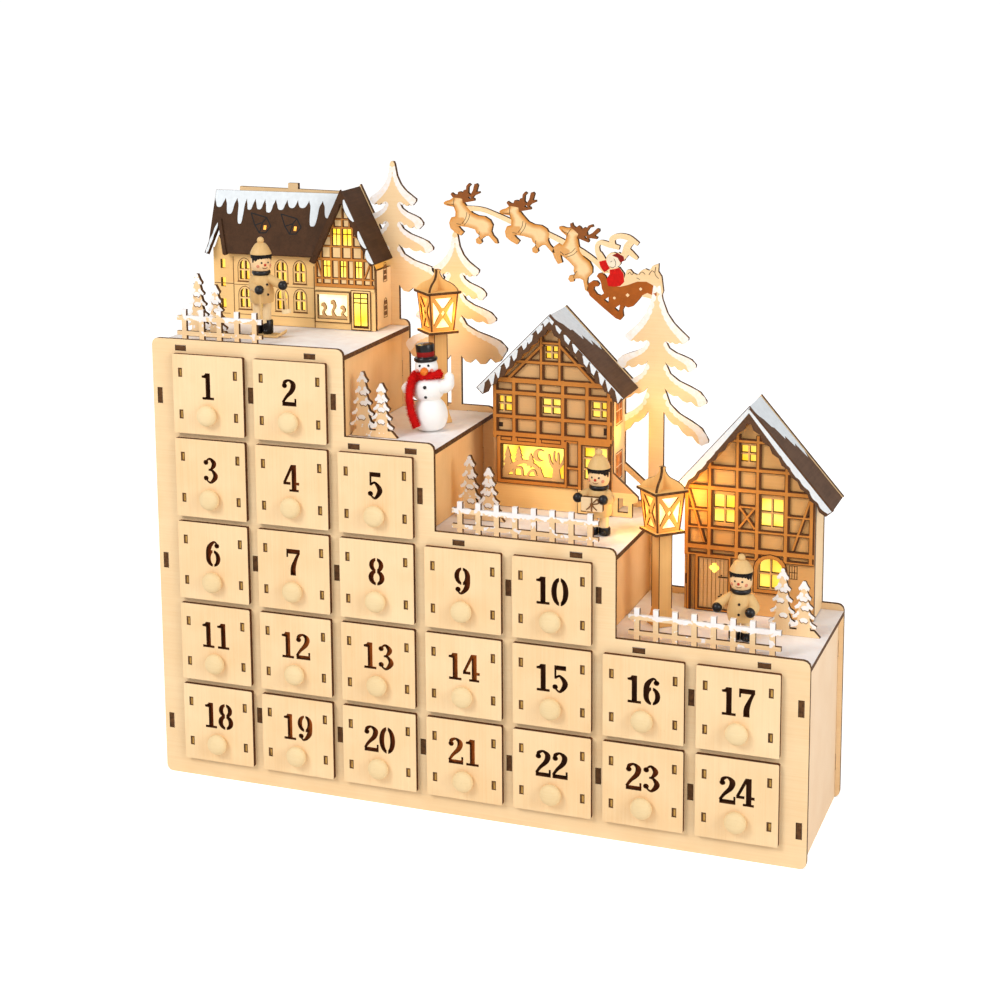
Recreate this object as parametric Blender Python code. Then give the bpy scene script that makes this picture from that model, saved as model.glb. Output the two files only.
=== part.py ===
"""Wooden advent calendar: a stepped chest of twenty-four drawers below a lit winter village.

Lengths are metres. +X is to the right, +Y to the back, +Z up, and the chest stands on z = 0.
Nearly every piece is cut from plywood sheet, so a piece is an outline, its holes and a thickness.
"""

import math

import bpy
from mathutils import Vector
from mathutils.geometry import delaunay_2d_cdt

MM = 0.001

# Sheet stock and clearances
PLY = 3.0 * MM
THIN_PLY = 1.5 * MM
SEAT = 0.3 * MM
TAB_PLAY = 0.3 * MM
OVERLAP = 0.4 * MM

# Drawer fronts and the grid they stand in
COLUMNS = 7
ROWS = 5
PITCH_X = 55.0 * MM
PITCH_Z = 53.0 * MM
FRONT_W = 48.0 * MM
FRONT_H = 49.5 * MM
FRONT_CORNER = 1.2 * MM
FIRST_ROW = (0, 0, 1, 2, 2, 3, 3)
SIDE_MARGIN = 15.7 * MM
BOTTOM_MARGIN = 12.2 * MM
TOP_MARGIN = 8.6 * MM
STEP_MARGINS = (10.1 * MM, 12.5 * MM, 13.5 * MM)
PANEL_CORNER = 4.0 * MM

# Chest
INNER_DEPTH = 101.8 * MM
WALL_INSET = 3.1 * MM
DECK_DROP = 3.9 * MM

# Drawer trays and knobs
OPENING_LAP = 2.0 * MM
TRAY_SIDE_PLAY = 0.45 * MM
TRAY_WALL = 2.8 * MM
TRAY_TOP_PLAY = 3.0 * MM
TRAY_DEPTH = 80.0 * MM
KNOB_RADIUS = 6.5 * MM
KNOB_OUT = 6.6 * MM
KNOB_HEIGHT = 12.5 * MM

# Tabs that pass through the front and back panels
UPRIGHT_TAB = 9.4 * MM
DECK_TAB = 7.0 * MM

# Village
FACADE_SETBACK = 78.3 * MM
WALL_PLY = 3.0 * MM
ROOF_PLY = 3.0 * MM
ROOF_GAP = 0.5 * MM
ROOF_LAP = 0.5 * MM
TIMBER_INSET = 0.15 * MM
TRUNK_HALF = 3.5 * MM
TALL_TRUNK_HALF = 4.7 * MM

# Battery box
BATTERY_W = 48.0 * MM
BATTERY_H = 26.0 * MM
BATTERY_D = 14.0 * MM
BATTERY_LIP = 1.6 * MM
SWITCH_TRAVEL = 3.0 * MM
SWITCH_W = 4.0 * MM
SWITCH_H = 3.0 * MM
SWITCH_POCKET = 1.5 * MM

# Places worked out from the sizes above
BODY_W = 2 * SIDE_MARGIN + (COLUMNS - 1) * PITCH_X + FRONT_W
CHEST_DEPTH = INNER_DEPTH + 2 * PLY
FACE_Y = (PLY + SEAT + KNOB_OUT - CHEST_DEPTH) / 2
INNER_FRONT = FACE_Y + PLY
INNER_BACK = INNER_FRONT + INNER_DEPTH
BACK_Y = FACE_Y + CHEST_DEPTH
LAP_Y = (INNER_FRONT + INNER_BACK) / 2
FACADE_Y = FACE_Y + FACADE_SETBACK

# How a sheet's own outline plane is turned into the world
LEVEL = (0, 0, 0)
FACING = (math.pi / 2, 0, 0)
SIDEWAYS = (math.pi / 2, 0, math.pi / 2)


def column_left(column):
    return -BODY_W / 2 + SIDE_MARGIN + column * PITCH_X


def row_top(row):
    return BOTTOM_MARGIN + FRONT_H + (ROWS - 1 - row) * PITCH_Z


def step_top(row):
    """Height of the panels' edge above the drawers whose highest row is this one."""
    return row_top(row) + TOP_MARGIN


def deck_top(row):
    return step_top(row) - DECK_DROP


def step_edge(column, margin):
    return column_left(column) + FRONT_W + margin


def boundary(column):
    """Middle of the strip between this column's fronts and the next one's."""
    return column_left(column + 1) - (PITCH_X - FRONT_W) / 2


STEP_EDGES = [step_edge(column, margin) for column, margin in zip((1, 2, 4), STEP_MARGINS)]
STEP_EDGES.append(BODY_W / 2)
STEP_STARTS = [-BODY_W / 2] + STEP_EDGES[:-1]
STEP_MIDDLES = [(start + edge) / 2 for start, edge in zip(STEP_STARTS, STEP_EDGES)]


def clear_scene():
    for old in list(bpy.data.objects):
        bpy.data.objects.remove(old)


def finish(name, colour, roughness=0.6, metallic=0.0):
    material = bpy.data.materials.new(name)
    material.use_nodes = True
    shader = material.node_tree.nodes["Principled BSDF"]
    shader.inputs["Base Color"].default_value = (*colour, 1)
    shader.inputs["Roughness"].default_value = roughness
    shader.inputs["Metallic"].default_value = metallic
    material.diffuse_color = (*colour, 1)
    return material


BIRCH = finish("birch plywood", (0.78, 0.58, 0.34))
SNOW_PAINT = finish("snow-white paint", (0.88, 0.84, 0.82), 0.7)
TIMBER = finish("timbered plywood", (0.52, 0.27, 0.10))
ROOF_PAINT = finish("dark roof paint", (0.09, 0.05, 0.03), 0.7)
LAMP_WOOD = finish("lamp plywood", (0.50, 0.30, 0.12))
TURNED_WOOD = finish("turned wood", (0.74, 0.52, 0.28), 0.45)
WHITE_BALL = finish("white painted balls", (0.9, 0.9, 0.9), 0.5)
PLASTIC = finish("black plastic", (0.02, 0.02, 0.02), 0.4)


def box(left, bottom, right, top):
    return [(left, bottom), (right, bottom), (right, top), (left, top)]


def in_mm(points):
    """Outline points written in millimetres, as metres."""
    return [tuple(value * MM for value in point) for point in points]


def moved(loop, across, up):
    return [(u + across, v + up) for u, v in loop]


def mirrored(loop):
    return [(-u, v) for u, v in loop]


def turned_loop(loop, angle):
    cos, sin = math.cos(angle), math.sin(angle)
    return [(u * cos - v * sin, u * sin + v * cos) for u, v in loop]


def rounded(corners, steps=3):
    """A closed outline of (u, v, radius) corners, each one an arc that touches both its sides."""
    loop = []
    for i, (u, v, radius) in enumerate(corners):
        here = Vector((u, v))
        before = (Vector(corners[i - 1][:2]) - here).normalized()
        after = (Vector(corners[(i + 1) % len(corners)][:2]) - here).normalized()
        if not radius:
            loop.append((u, v))
            continue
        half = before.angle(after) / 2
        centre = here + (before + after).normalized() * radius / math.sin(half)
        start = (here + before * radius / math.tan(half) - centre).normalized()
        end = (here + after * radius / math.tan(half) - centre).normalized()
        loop += [tuple(centre + start.slerp(end, step / steps) * radius)
                 for step in range(steps + 1)]
    return loop


def rounded_box(left, bottom, right, top, radius, steps=2):
    return rounded([(u, v, radius) for u, v in box(left, bottom, right, top)], steps)


def arched(left, bottom, right, top, steps=6):
    """A window or door opening with a half-round head."""
    radius = (right - left) / 2
    centre = ((left + right) / 2, top - radius)
    arc = [
        (centre[0] + radius * math.cos(a), centre[1] + radius * math.sin(a))
        for a in [math.pi * step / steps for step in range(steps + 1)]
    ]
    return [(left, bottom), (right, bottom)] + arc


def circle(u, v, radius, steps=12):
    return [
        (u + radius * math.cos(a), v + radius * math.sin(a))
        for a in [2 * math.pi * step / steps for step in range(steps)]
    ]


def bar(start, end, width):
    """A straight strip between two points."""
    a, b = Vector(start), Vector(end)
    side = (b - a).normalized().orthogonal() * width / 2
    return [tuple(a - side), tuple(b - side), tuple(b + side), tuple(a + side)]


def ribbon(points, widths, samples=4):
    """A curved strip: its middle line is a smooth curve through the points, with a width at each."""
    count = len(points)
    middle = []
    for i in range(count - 1):
        p0, p1 = Vector(points[max(i - 1, 0)]), Vector(points[i])
        p2, p3 = Vector(points[i + 1]), Vector(points[min(i + 2, count - 1)])
        for step in range(samples):
            t = step / samples
            spot = 0.5 * (
                2 * p1 + (p2 - p0) * t + (2 * p0 - 5 * p1 + 4 * p2 - p3) * t**2
                + (3 * p1 - p0 - 3 * p2 + p3) * t**3
            )
            middle.append((spot, widths[i] + (widths[i + 1] - widths[i]) * t))
    middle.append((Vector(points[-1]), widths[-1]))
    left, right = [], []
    for i, (spot, width) in enumerate(middle):
        along = middle[min(i + 1, len(middle) - 1)][0] - middle[max(i - 1, 0)][0]
        side = along.normalized().orthogonal() * width / 2
        left.append(tuple(spot + side))
        right.append(tuple(spot - side))
    return left + right[::-1]


def anticlockwise(loop):
    area = sum(a[0] * b[1] - b[0] * a[1] for a, b in zip(loop, loop[1:] + loop[:1]))
    return loop if area > 0 else loop[::-1]


def add_mesh(name, vertices, faces, material, location, turn, smooth=False):
    mesh = bpy.data.meshes.new(name)
    mesh.from_pydata(vertices, [], faces)
    mesh.materials.append(material)
    if smooth:
        mesh.shade_smooth()
        mesh.set_sharp_from_angle(angle=math.radians(40))
    piece = bpy.data.objects.new(name, mesh)
    piece.location = location
    piece.rotation_euler = turn
    bpy.context.scene.collection.objects.link(piece)
    return piece


def sheet(name, outlines, holes, thickness, material, location=(0, 0, 0), turn=LEVEL, within=()):
    """A laser-cut sheet: all its outlines made one, less the holes, thick along its own +Z.

    Where `within` names outlines, only what also lies inside one of them is kept.
    """
    loops = [anticlockwise(list(loop)) for loop in [*outlines, *holes, *within]]
    points, faces = [], []
    for loop in loops:
        faces.append(list(range(len(points), len(points) + len(loop))))
        points += [Vector((u, v)) / MM for u, v in loop]
    spots, _, cells, _, _, owners = delaunay_2d_cdt(points, [], faces, 1, 1e-4)
    solids = set(range(len(outlines)))
    limits = set(range(len(outlines) + len(holes), len(loops)))
    kept = [cell for cell, owner in zip(cells, owners)
            if solids & set(owner) and not set(owner) - solids - limits
            and (not limits or limits & set(owner))]
    used = sorted({corner for cell in kept for corner in cell})
    order = {corner: i for i, corner in enumerate(used)}
    kept = [[order[corner] for corner in cell] for cell in kept]
    flat = [spots[corner] * MM for corner in used]
    count = len(flat)
    edges = {(cell[i - 1], cell[i]) for cell in kept for i in range(len(cell))}
    rim = [(a, b) for a, b in edges if (b, a) not in edges]
    vertices = [(p.x, p.y, z) for z in (0.0, thickness) for p in flat]
    walls = [(a, b, b + count, a + count) for a, b in sorted(rim)]
    bottom = [tuple(reversed(cell)) for cell in kept]
    top = [tuple(corner + count for corner in cell) for cell in kept]
    return add_mesh(name, vertices, bottom + top + walls, material, location, turn)


def turned(name, profile, steps, material, location, turn=LEVEL, smooth=True):
    """A solid turned on a lathe: (radius, height) pairs from the bottom up its own +Z axis."""
    vertices, rings = [], []
    for radius, height in profile:
        first = len(vertices)
        if radius == 0:
            vertices.append((0.0, 0.0, height))
            rings.append([first])
            continue
        for angle in [2 * math.pi * step / steps for step in range(steps)]:
            vertices.append((radius * math.cos(angle), radius * math.sin(angle), height))
        rings.append(list(range(first, first + steps)))
    faces = []
    for low, high in zip(rings, rings[1:]):
        for i in range(steps):
            j = (i + 1) % steps
            if len(low) == 1:
                faces.append((low[0], high[j], high[i]))
            elif len(high) == 1:
                faces.append((low[i], low[j], high[0]))
            else:
                faces.append((low[i], low[j], high[j], high[i]))
    if len(rings[0]) > 1:
        faces.append(tuple(reversed(rings[0])))
    if len(rings[-1]) > 1:
        faces.append(tuple(rings[-1]))
    return add_mesh(name, vertices, faces, material, location, turn, smooth)


def ball_profile(radius, height, rings=6, squash=1.0):
    """Profile of a ball centred at this height."""
    arc = [math.pi * ring / rings for ring in range(rings + 1)]
    profile = [(radius * math.sin(a), height - radius * squash * math.cos(a)) for a in arc]
    profile[0] = (0, profile[0][1])
    profile[-1] = (0, profile[-1][1])
    return profile


def ball(name, centre, radius, material, steps=10, rings=6, squash=1.0):
    return turned(name, ball_profile(radius, 0, rings, squash), steps, material, centre)


def limb(name, start, end, start_radius, end_radius, material, steps=8):
    """A rounded, tapered stick between two points."""
    a, b = Vector(start), Vector(end)
    length = (b - a).length
    profile = [
        (0, -start_radius * 0.6),
        (start_radius * 0.8, -start_radius * 0.35),
        (start_radius, 0),
        (end_radius, length),
        (end_radius * 0.8, length + end_radius * 0.35),
        (0, length + end_radius * 0.6),
    ]
    turn = Vector((0, 0, 1)).rotation_difference(b - a).to_euler()
    return turned(name, profile, steps, material, a, turn)


def joined(base, parts):
    """Makes closed solids that overlap into one, under the first one's name."""
    for part in parts:
        join = base.modifiers.new(part.name, "BOOLEAN")
        join.operation = "UNION"
        join.object = part
    graph = bpy.context.evaluated_depsgraph_get()
    mesh = bpy.data.meshes.new_from_object(base.evaluated_get(graph))
    base.modifiers.clear()
    base.data = mesh
    for part in parts:
        bpy.data.objects.remove(part)
    return base


def cut(base, cutters):
    """Takes closed cutters out of a solid."""
    for cutter in cutters:
        away = base.modifiers.new(cutter.name, "BOOLEAN")
        away.operation = "DIFFERENCE"
        away.object = cutter
    graph = bpy.context.evaluated_depsgraph_get()
    mesh = bpy.data.meshes.new_from_object(base.evaluated_get(graph))
    base.modifiers.clear()
    base.data = mesh
    for cutter in cutters:
        bpy.data.objects.remove(cutter)
    return base


def block(name, low, high, material):
    """A plain block between two corners, cut to length from sheet."""
    outline = box(low[0], low[1], high[0], high[1])
    return sheet(name, [outline], [], high[2] - low[2], material, (0, 0, low[2]))


# Where the upright boards stand: (name, middle, highest row that it reaches, front and back tabs)
# Each tab is (row, its middle below that row's drawer tops).
LEFT_WALL_X = -BODY_W / 2 + WALL_INSET + PLY / 2
UPRIGHTS = [
    ("left_wall", LEFT_WALL_X, 0, ((0, 27.5), (2, 27.5), (4, 27.5))),
    ("divider_1", boundary(0), 0, ((0, 23.5), (2, 23.5), (4, 16.0))),
    ("divider_2", boundary(1), 0, ((0, 23.5), (2, 23.5), (4, 21.0))),
    ("divider_3", boundary(2), 1, ((1, 23.5), (4, 21.0))),
    ("divider_4", boundary(3), 2, ((2, 21.0), (4, 23.5))),
    ("divider_5", boundary(4), 2, ((2, 19.5), (4, 23.5))),
    ("divider_6", boundary(5), 3, ((3, 21.0), (4, 25.0))),
    ("right_wall", -LEFT_WALL_X, 3, ((3, 19.5), (4, 39.0))),
]

# The level boards: (name, row below it, left end, right end, places of its tabs)
INNER_LEFT = LEFT_WALL_X + PLY / 2 + SEAT
INNER_RIGHT = -INNER_LEFT
LEVELS = [
    ("deck_1", 0, -BODY_W / 2, STEP_EDGES[0], ((0, 4.2), (1, 36.5))),
    ("deck_2", 1, INNER_LEFT, STEP_EDGES[1], ((2, 9.3), (2, 46.0))),
    ("deck_3", 2, INNER_LEFT, STEP_EDGES[2], ((3, 20.6), (4, 37.9))),
    ("deck_4", 3, INNER_LEFT, STEP_EDGES[3], ((5, 20.5), (6, 38.0))),
    ("lower_shelf", 4, INNER_LEFT, INNER_RIGHT, ()),
    ("bottom_board", 5, INNER_LEFT, INNER_RIGHT, ()),
]


def upright_tab_heights(tabs):
    return [row_top(row) - drop * MM for row, drop in tabs]


def level_tab_places(tabs):
    return [column_left(column) + inset * MM for column, inset in tabs]


def stepped_outline():
    """Outline of the front and back panels: four steps that fall to the right."""
    corners = [(-BODY_W / 2, 0, PANEL_CORNER), (BODY_W / 2, 0, PANEL_CORNER)]
    for edge, start, row in reversed(list(zip(STEP_EDGES, STEP_STARTS, range(4)))):
        corners.append((edge, step_top(row), PANEL_CORNER))
        corners.append((start, step_top(row), PANEL_CORNER if row == 0 else 0))
    return rounded(corners)


def tab_slots():
    """Slots in the front and back panels for the tabs of the boards between them."""
    slots = []
    for _, middle, _, tabs in UPRIGHTS:
        half = PLY / 2 + TAB_PLAY
        reach = UPRIGHT_TAB / 2 + TAB_PLAY
        slots += [box(middle - half, z - reach, middle + half, z + reach)
                  for z in upright_tab_heights(tabs)]
    for _, row, _, _, tabs in LEVELS:
        low, high = deck_top(row) - PLY - TAB_PLAY, deck_top(row) + TAB_PLAY
        reach = DECK_TAB / 2 + TAB_PLAY
        slots += [box(x - reach, low, x + reach, high) for x in level_tab_places(tabs)]
    return slots


def drawer_cells():
    """(number, column, row) of each drawer, counted along the rows from the top left."""
    cells = [(column, row) for row in range(ROWS) for column in range(COLUMNS)
             if row >= FIRST_ROW[column]]
    return [(number, column, row) for number, (column, row) in enumerate(cells, 1)]


def drawer_opening(column, row):
    left = column_left(column) + OPENING_LAP
    right = column_left(column) + FRONT_W - OPENING_LAP
    return box(left, deck_top(row + 1), right, row_top(row) - OPENING_LAP)


def build_front_panel():
    openings = [drawer_opening(column, row) for _, column, row in drawer_cells()]
    sheet("front_panel", [stepped_outline()], openings + tab_slots(), PLY, BIRCH,
          (0, INNER_FRONT, 0), FACING)


def build_uprights():
    for name, middle, top_row, tabs in UPRIGHTS:
        is_wall = name.endswith("wall")
        bottom = 0 if is_wall else deck_top(ROWS) + SEAT
        top = deck_top(top_row) - PLY - SEAT
        outlines = [box(INNER_FRONT + SEAT, bottom, INNER_BACK - SEAT, top)]
        for z in upright_tab_heights(tabs):
            outlines.append(box(FACE_Y, z - UPRIGHT_TAB / 2, BACK_Y, z + UPRIGHT_TAB / 2))
        notches = []
        for _, row, left, right, _ in LEVELS:
            crosses = left < middle < right and bottom < deck_top(row) < top
            if crosses and not is_wall:
                low, high = deck_top(row) - PLY - SEAT, deck_top(row) + SEAT
                notches.append(box(FACE_Y - PLY, low, LAP_Y + SEAT / 2, high))
        sheet(name, outlines, notches, PLY, BIRCH, (middle - PLY / 2, 0, 0), SIDEWAYS)


def build_levels():
    for name, row, left, right, tabs in LEVELS:
        outlines = [box(left, INNER_FRONT + SEAT, right, INNER_BACK - SEAT)]
        for x in level_tab_places(tabs):
            outlines.append(box(x - DECK_TAB / 2, FACE_Y, x + DECK_TAB / 2, BACK_Y))
        notches = []
        for upright, middle, top_row, _ in UPRIGHTS:
            passes = top_row < row < ROWS and not upright.endswith("wall")
            if passes and left < middle < right:
                half = PLY / 2 + SEAT
                notches.append(box(middle - half, LAP_Y - SEAT / 2, middle + half, BACK_Y + PLY))
        material = SNOW_PAINT if name.startswith("deck") else BIRCH
        sheet(name, outlines, notches, PLY, material, (0, 0, deck_top(row) - PLY))


def knob_profile():
    """Turned knob: a short neck under a shallow dome, measured out from the drawer front."""
    shape = ((0.8, -0.1), (1.0, 0.4), (0.84, 0.78), (0.45, 0.97))
    profile = [(KNOB_RADIUS * r, KNOB_OUT * h) for r, h in shape]
    return profile + [(0, KNOB_OUT)]


def build_drawers():
    for number, column, row in drawer_cells():
        left, top = column_left(column), row_top(row)
        middle = left + FRONT_W / 2
        front = sheet(f"drawer_{number:02d}",
                      [rounded_box(left, top - FRONT_H, left + FRONT_W, top, FRONT_CORNER, 1)],
                      [], PLY, BIRCH, (0, FACE_Y - SEAT, 0), FACING)
        half = FRONT_W / 2 - OPENING_LAP - TRAY_SIDE_PLAY
        low, high = deck_top(row + 1) + SEAT, top - OPENING_LAP - TRAY_TOP_PLAY
        near, far = FACE_Y - SEAT - PLY / 2, FACE_Y + TRAY_DEPTH
        tray = block("tray", (middle - half, near, low), (middle + half, far, high), BIRCH)
        inside = block("inside", (middle - half + TRAY_WALL, FACE_Y - SEAT, low + TRAY_WALL),
                       (middle + half - TRAY_WALL, far - TRAY_WALL, high + PLY), BIRCH)
        knob = turned("knob", knob_profile(), 10, TURNED_WOOD,
                      (middle, FACE_Y - SEAT - PLY, top - FRONT_H + KNOB_HEIGHT), FACING)
        cut(tray, [inside])
        joined(front, [tray, knob])


def fir_side(tiers, lobes=3):
    """Right-hand side of a fir about its own trunk, from its tip down, heights measured down.

    A tier is (reach, drop of its tip, hang of the lobes under it, notch at the trunk, its drop).
    The top edge of a branch is a curve that leaves the trunk steeply and flattens outwards, and
    the lobes under it are half waves. The topmost tier has no bulge, so the tip stays slender.
    """
    side = [(0.8, -0.3)]
    neck = (1.6, -1.8)
    for reach, drop, hang, notch, notch_drop in tiers:
        start, end = Vector(neck), Vector((reach, -drop))
        fall = start.y - end.y
        pull_1 = Vector((start.x + 0.1 * (end.x - start.x), start.y - 0.7 * fall))
        bulge = (0.62, 0.8) if reach == tiers[0][0] else (0.86, 0.5)
        pull_2 = Vector((start.x + bulge[0] * (end.x - start.x), start.y - bulge[1] * fall))
        for step in range(5):
            t = step / 5
            side.append(tuple((1 - t)**3 * start + 3 * (1 - t)**2 * t * pull_1
                              + 3 * (1 - t) * t**2 * pull_2 + t**3 * end))
        side += [(reach, -drop), (reach - 0.2, -drop - 1.6)]
        under, root = Vector((reach - 1.2, -drop - 2.2)), Vector((notch, -notch_drop))
        samples = 3 * lobes
        for step in range(1, samples):
            t = step / samples
            envelope = math.sin(math.pi * min(1, 0.15 + 0.8 * t)) ** 0.5
            depth = hang * envelope * (0.45 + 0.55 * abs(math.sin(lobes * math.pi * t)))
            spot = under.lerp(root, t)
            side.append((spot.x, spot.y - depth))
        side.append(tuple(root))
        neck = tuple(root)
    return side


def fir(tip_x, tip_z, tiers, trunk_half, foot_z):
    """Outlines of a whole fir: both sides of its crown, and its trunk down to foot_z."""
    side = in_mm(fir_side(tiers))
    crown = side + mirrored(side)[::-1]
    crown_foot = min(v for _, v in side)
    trunk = box(tip_x - trunk_half, foot_z, tip_x + trunk_half, tip_z + 0.4 * crown_foot)
    return [moved(crown, tip_x, tip_z), trunk]


FIR_TIERS = (
    (16.0, 24.0, 2.6, 4.4, 26.0),
    (20.6, 39.0, 3.2, 4.0, 38.0),
    (27.2, 54.6, 2.6, 3.4, 53.0),
    (34.4, 73.4, 7.6, 3.2, 79.0),
)
TALL_FIR_TIERS = (
    (20.0, 37.0, 2.0, 5.6, 39.5),
    (24.8, 53.6, 3.4, 5.4, 52.5),
    (31.6, 75.6, 3.6, 5.2, 69.0),
    (33.0, 100.0, 4.4, 4.8, 84.0),
)

# A reindeer that leaps to the left, in millimetres from its nose
REINDEER = (
    (0.0, 0.0), (0.4, -1.0), (2.5, -1.8), (6.8, -2.4), (8.0, -5.5), (7.8, -8.6), (5.0, -9.2),
    (3.6, -12.5), (4.4, -16.0), (7.5, -18.5), (11.5, -20.5), (13.4, -18.2), (11.0, -16.0),
    (9.6, -14.4), (16.0, -15.0), (21.0, -16.2), (22.0, -18.5), (24.2, -20.0), (21.4, -22.4),
    (21.8, -24.8), (24.0, -25.6), (25.6, -24.2), (25.0, -22.4), (28.0, -20.2), (30.2, -20.0),
    (34.4, -24.5), (36.2, -24.6), (35.4, -22.0), (33.0, -19.6), (31.8, -17.0), (32.8, -13.0),
    (31.0, -9.8), (27.5, -7.8), (23.0, -7.4), (19.2, -5.8), (15.6, -2.0), (13.6, 0.4),
    (20.8, 1.8), (20.6, 3.2), (19.4, 3.6), (20.6, 5.0), (24.2, 6.6), (24.0, 7.8), (22.0, 7.6),
    (23.2, 11.6), (22.2, 12.8), (20.8, 12.4), (19.8, 8.4), (18.0, 5.4), (16.6, 6.8), (16.8, 10.2),
    (18.4, 11.8), (17.0, 12.8), (15.4, 11.0), (15.2, 8.6), (13.6, 8.4), (13.0, 6.6),
    (11.4, 7.4), (9.9, 7.2), (9.4, 5.2), (7.2, 5.4), (5.6, 6.6), (4.8, 5.4), (6.4, 3.4),
    (4.2, 1.9), (1.4, 1.1),
)
REINDEER_LOOP = ((17.7, 4.4), (19.0, 2.9), (17.4, 2.9), (16.4, 3.9))
REINDEER_PLACES = ((-51.2, 358.6, 0.0), (-14.0, 354.4, 0.0), (25.2, 346.3, -31.4))

# The sleigh and its driver, in millimetres, from the middle of the chest and from the floor
SLEIGH = (
    (49.2, 316.4), (50.4, 318.2), (52.6, 318.6), (54.9, 316.6), (56.3, 313.3), (58.6, 310.8),
    (64.3, 310.6), (68.8, 311.8), (75.1, 314.3), (80.8, 314.5), (84.8, 312.6), (87.1, 309.4),
    (87.3, 306.4), (86.0, 305.2), (84.0, 306.6), (81.4, 307.6), (78.5, 306.1), (74.5, 301.2),
    (72.3, 298.8), (69.4, 297.9), (67.0, 298.7), (65.8, 295.9), (66.3, 292.2), (64.4, 289.8),
    (61.4, 290.8), (52.9, 297.4), (44.9, 304.0), (43.1, 307.8), (44.0, 311.6), (46.6, 313.5),
    (49.4, 313.4), (51.0, 311.6), (50.0, 310.0), (47.8, 309.9), (47.3, 308.0), (49.4, 305.2),
    (51.7, 304.4), (53.9, 306.0), (52.6, 308.8), (52.0, 312.6), (51.0, 314.6),
)
SLEIGH_HOLES = (
    ((54.0, 301.8), (56.9, 303.9), (56.9, 299.9)),
    ((60.6, 297.0), (64.2, 299.4), (63.3, 294.8)),
)
GIFTS = (
    (64.0, 308.0), (66.9, 316.0), (68.2, 321.0), (70.4, 321.6), (72.4, 319.4), (75.0, 318.4),
    (77.4, 321.2), (80.0, 322.4), (82.6, 321.4), (84.6, 324.4), (88.4, 326.0), (88.2, 321.0),
    (90.2, 318.0), (91.4, 309.0), (88.0, 300.0), (84.0, 304.0),
)
DRIVER_BODY = (
    (56.6, 310.0), (55.6, 315.0), (57.6, 318.6), (53.2, 318.4), (52.8, 321.4), (57.0, 322.8),
    (63.6, 322.6), (66.6, 318.8), (67.0, 313.6), (64.2, 308.6), (60.0, 307.6),
)


def team_outlines():
    """The flying team: three reindeer, their traces, the sleigh, its driver and the lash."""
    outlines = []
    for x, z, degrees in REINDEER_PLACES:
        outlines.append(moved(turned_loop(in_mm(REINDEER), math.radians(degrees)), x * MM, z * MM))
    outlines += [in_mm(SLEIGH), in_mm(GIFTS), in_mm(DRIVER_BODY)]
    outlines += [circle(60.0 * MM, 326.8 * MM, 4.9 * MM),
                 in_mm(((60.0, 330.0), (63.2, 331.8), (66.6, 329.6), (67.0, 326.8), (63.6, 325.4)))]
    traces = (
        (((-36.5, 355.4), (-26.0, 355.2), (-16.0, 352.0), (-5.0, 347.6)), (3.4, 2.8, 2.8, 3.2)),
        (((13.5, 342.4), (20.0, 340.2), (30.0, 335.6)), (3.4, 3.2, 3.4)),
        (((36.0, 333.2), (42.0, 330.0), (49.0, 325.0), (54.5, 320.0)), (3.4, 3.0, 3.2, 3.4)),
        (((55.5, 320.6), (52.6, 326.4), (50.2, 331.0)), (5.4, 5.0, 3.6)),
        (((50.2, 330.0), (49.4, 334.6), (51.4, 337.4), (57.0, 336.2), (63.6, 334.6)),
         (3.2, 2.8, 2.8, 3.4, 2.6)),
        (((59.8, 335.6), (59.0, 339.6), (63.0, 341.8), (69.4, 341.0), (75.4, 337.2)),
         (3.0, 3.8, 3.2, 3.4, 2.4)),
        (((72.0, 339.6), (68.6, 335.6), (67.2, 331.0), (64.6, 328.0)), (3.6, 4.4, 4.2, 4.0)),
        (((67.6, 334.0), (71.0, 331.4), (75.0, 328.2)), (4.0, 3.4, 1.8)),
    )
    for points, widths in traces:
        outlines.append(ribbon(in_mm(points), [width * MM for width in widths]))
    return outlines


# Each house: middle from the middle of its step, half width, ridge height above the deck,
# reach and drop of its roof
HOUSE_2 = {"shift": -7.7 * MM, "half": 38.4 * MM, "ridge": 124.6 * MM,
           "reach": 47.6 * MM, "drop": 48.4 * MM}
HOUSE_3 = {"shift": 3.6 * MM, "half": 39.2 * MM, "ridge": 129.6 * MM,
           "reach": 50.6 * MM, "drop": 59.0 * MM}
GABLE_1 = {"shift": 32.0 * MM, "half": 20.6 * MM, "ridge": 90.2 * MM,
           "reach": 22.6 * MM, "drop": 46.4 * MM}
HOUSE_1_LEFT = -61.2 * MM
HOUSE_1_EAVE = 46.0 * MM
HOUSE_1_RIDGE = 84.9 * MM
HOUSE_1_ROOF_LEAN = 15.0 * MM


def roof_outline(house, skirt=0.0):
    """Outline of a pitched roof seen from the front, about the house's middle."""
    ridge, reach, drop = house["ridge"], house["reach"], house["drop"]
    return [(-reach, ridge - drop), (-house["half"], ridge - drop - skirt), (-house["half"], 0),
            (house["half"], 0), (house["half"], ridge - drop - skirt), (reach, ridge - drop),
            (0, ridge)]


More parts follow.
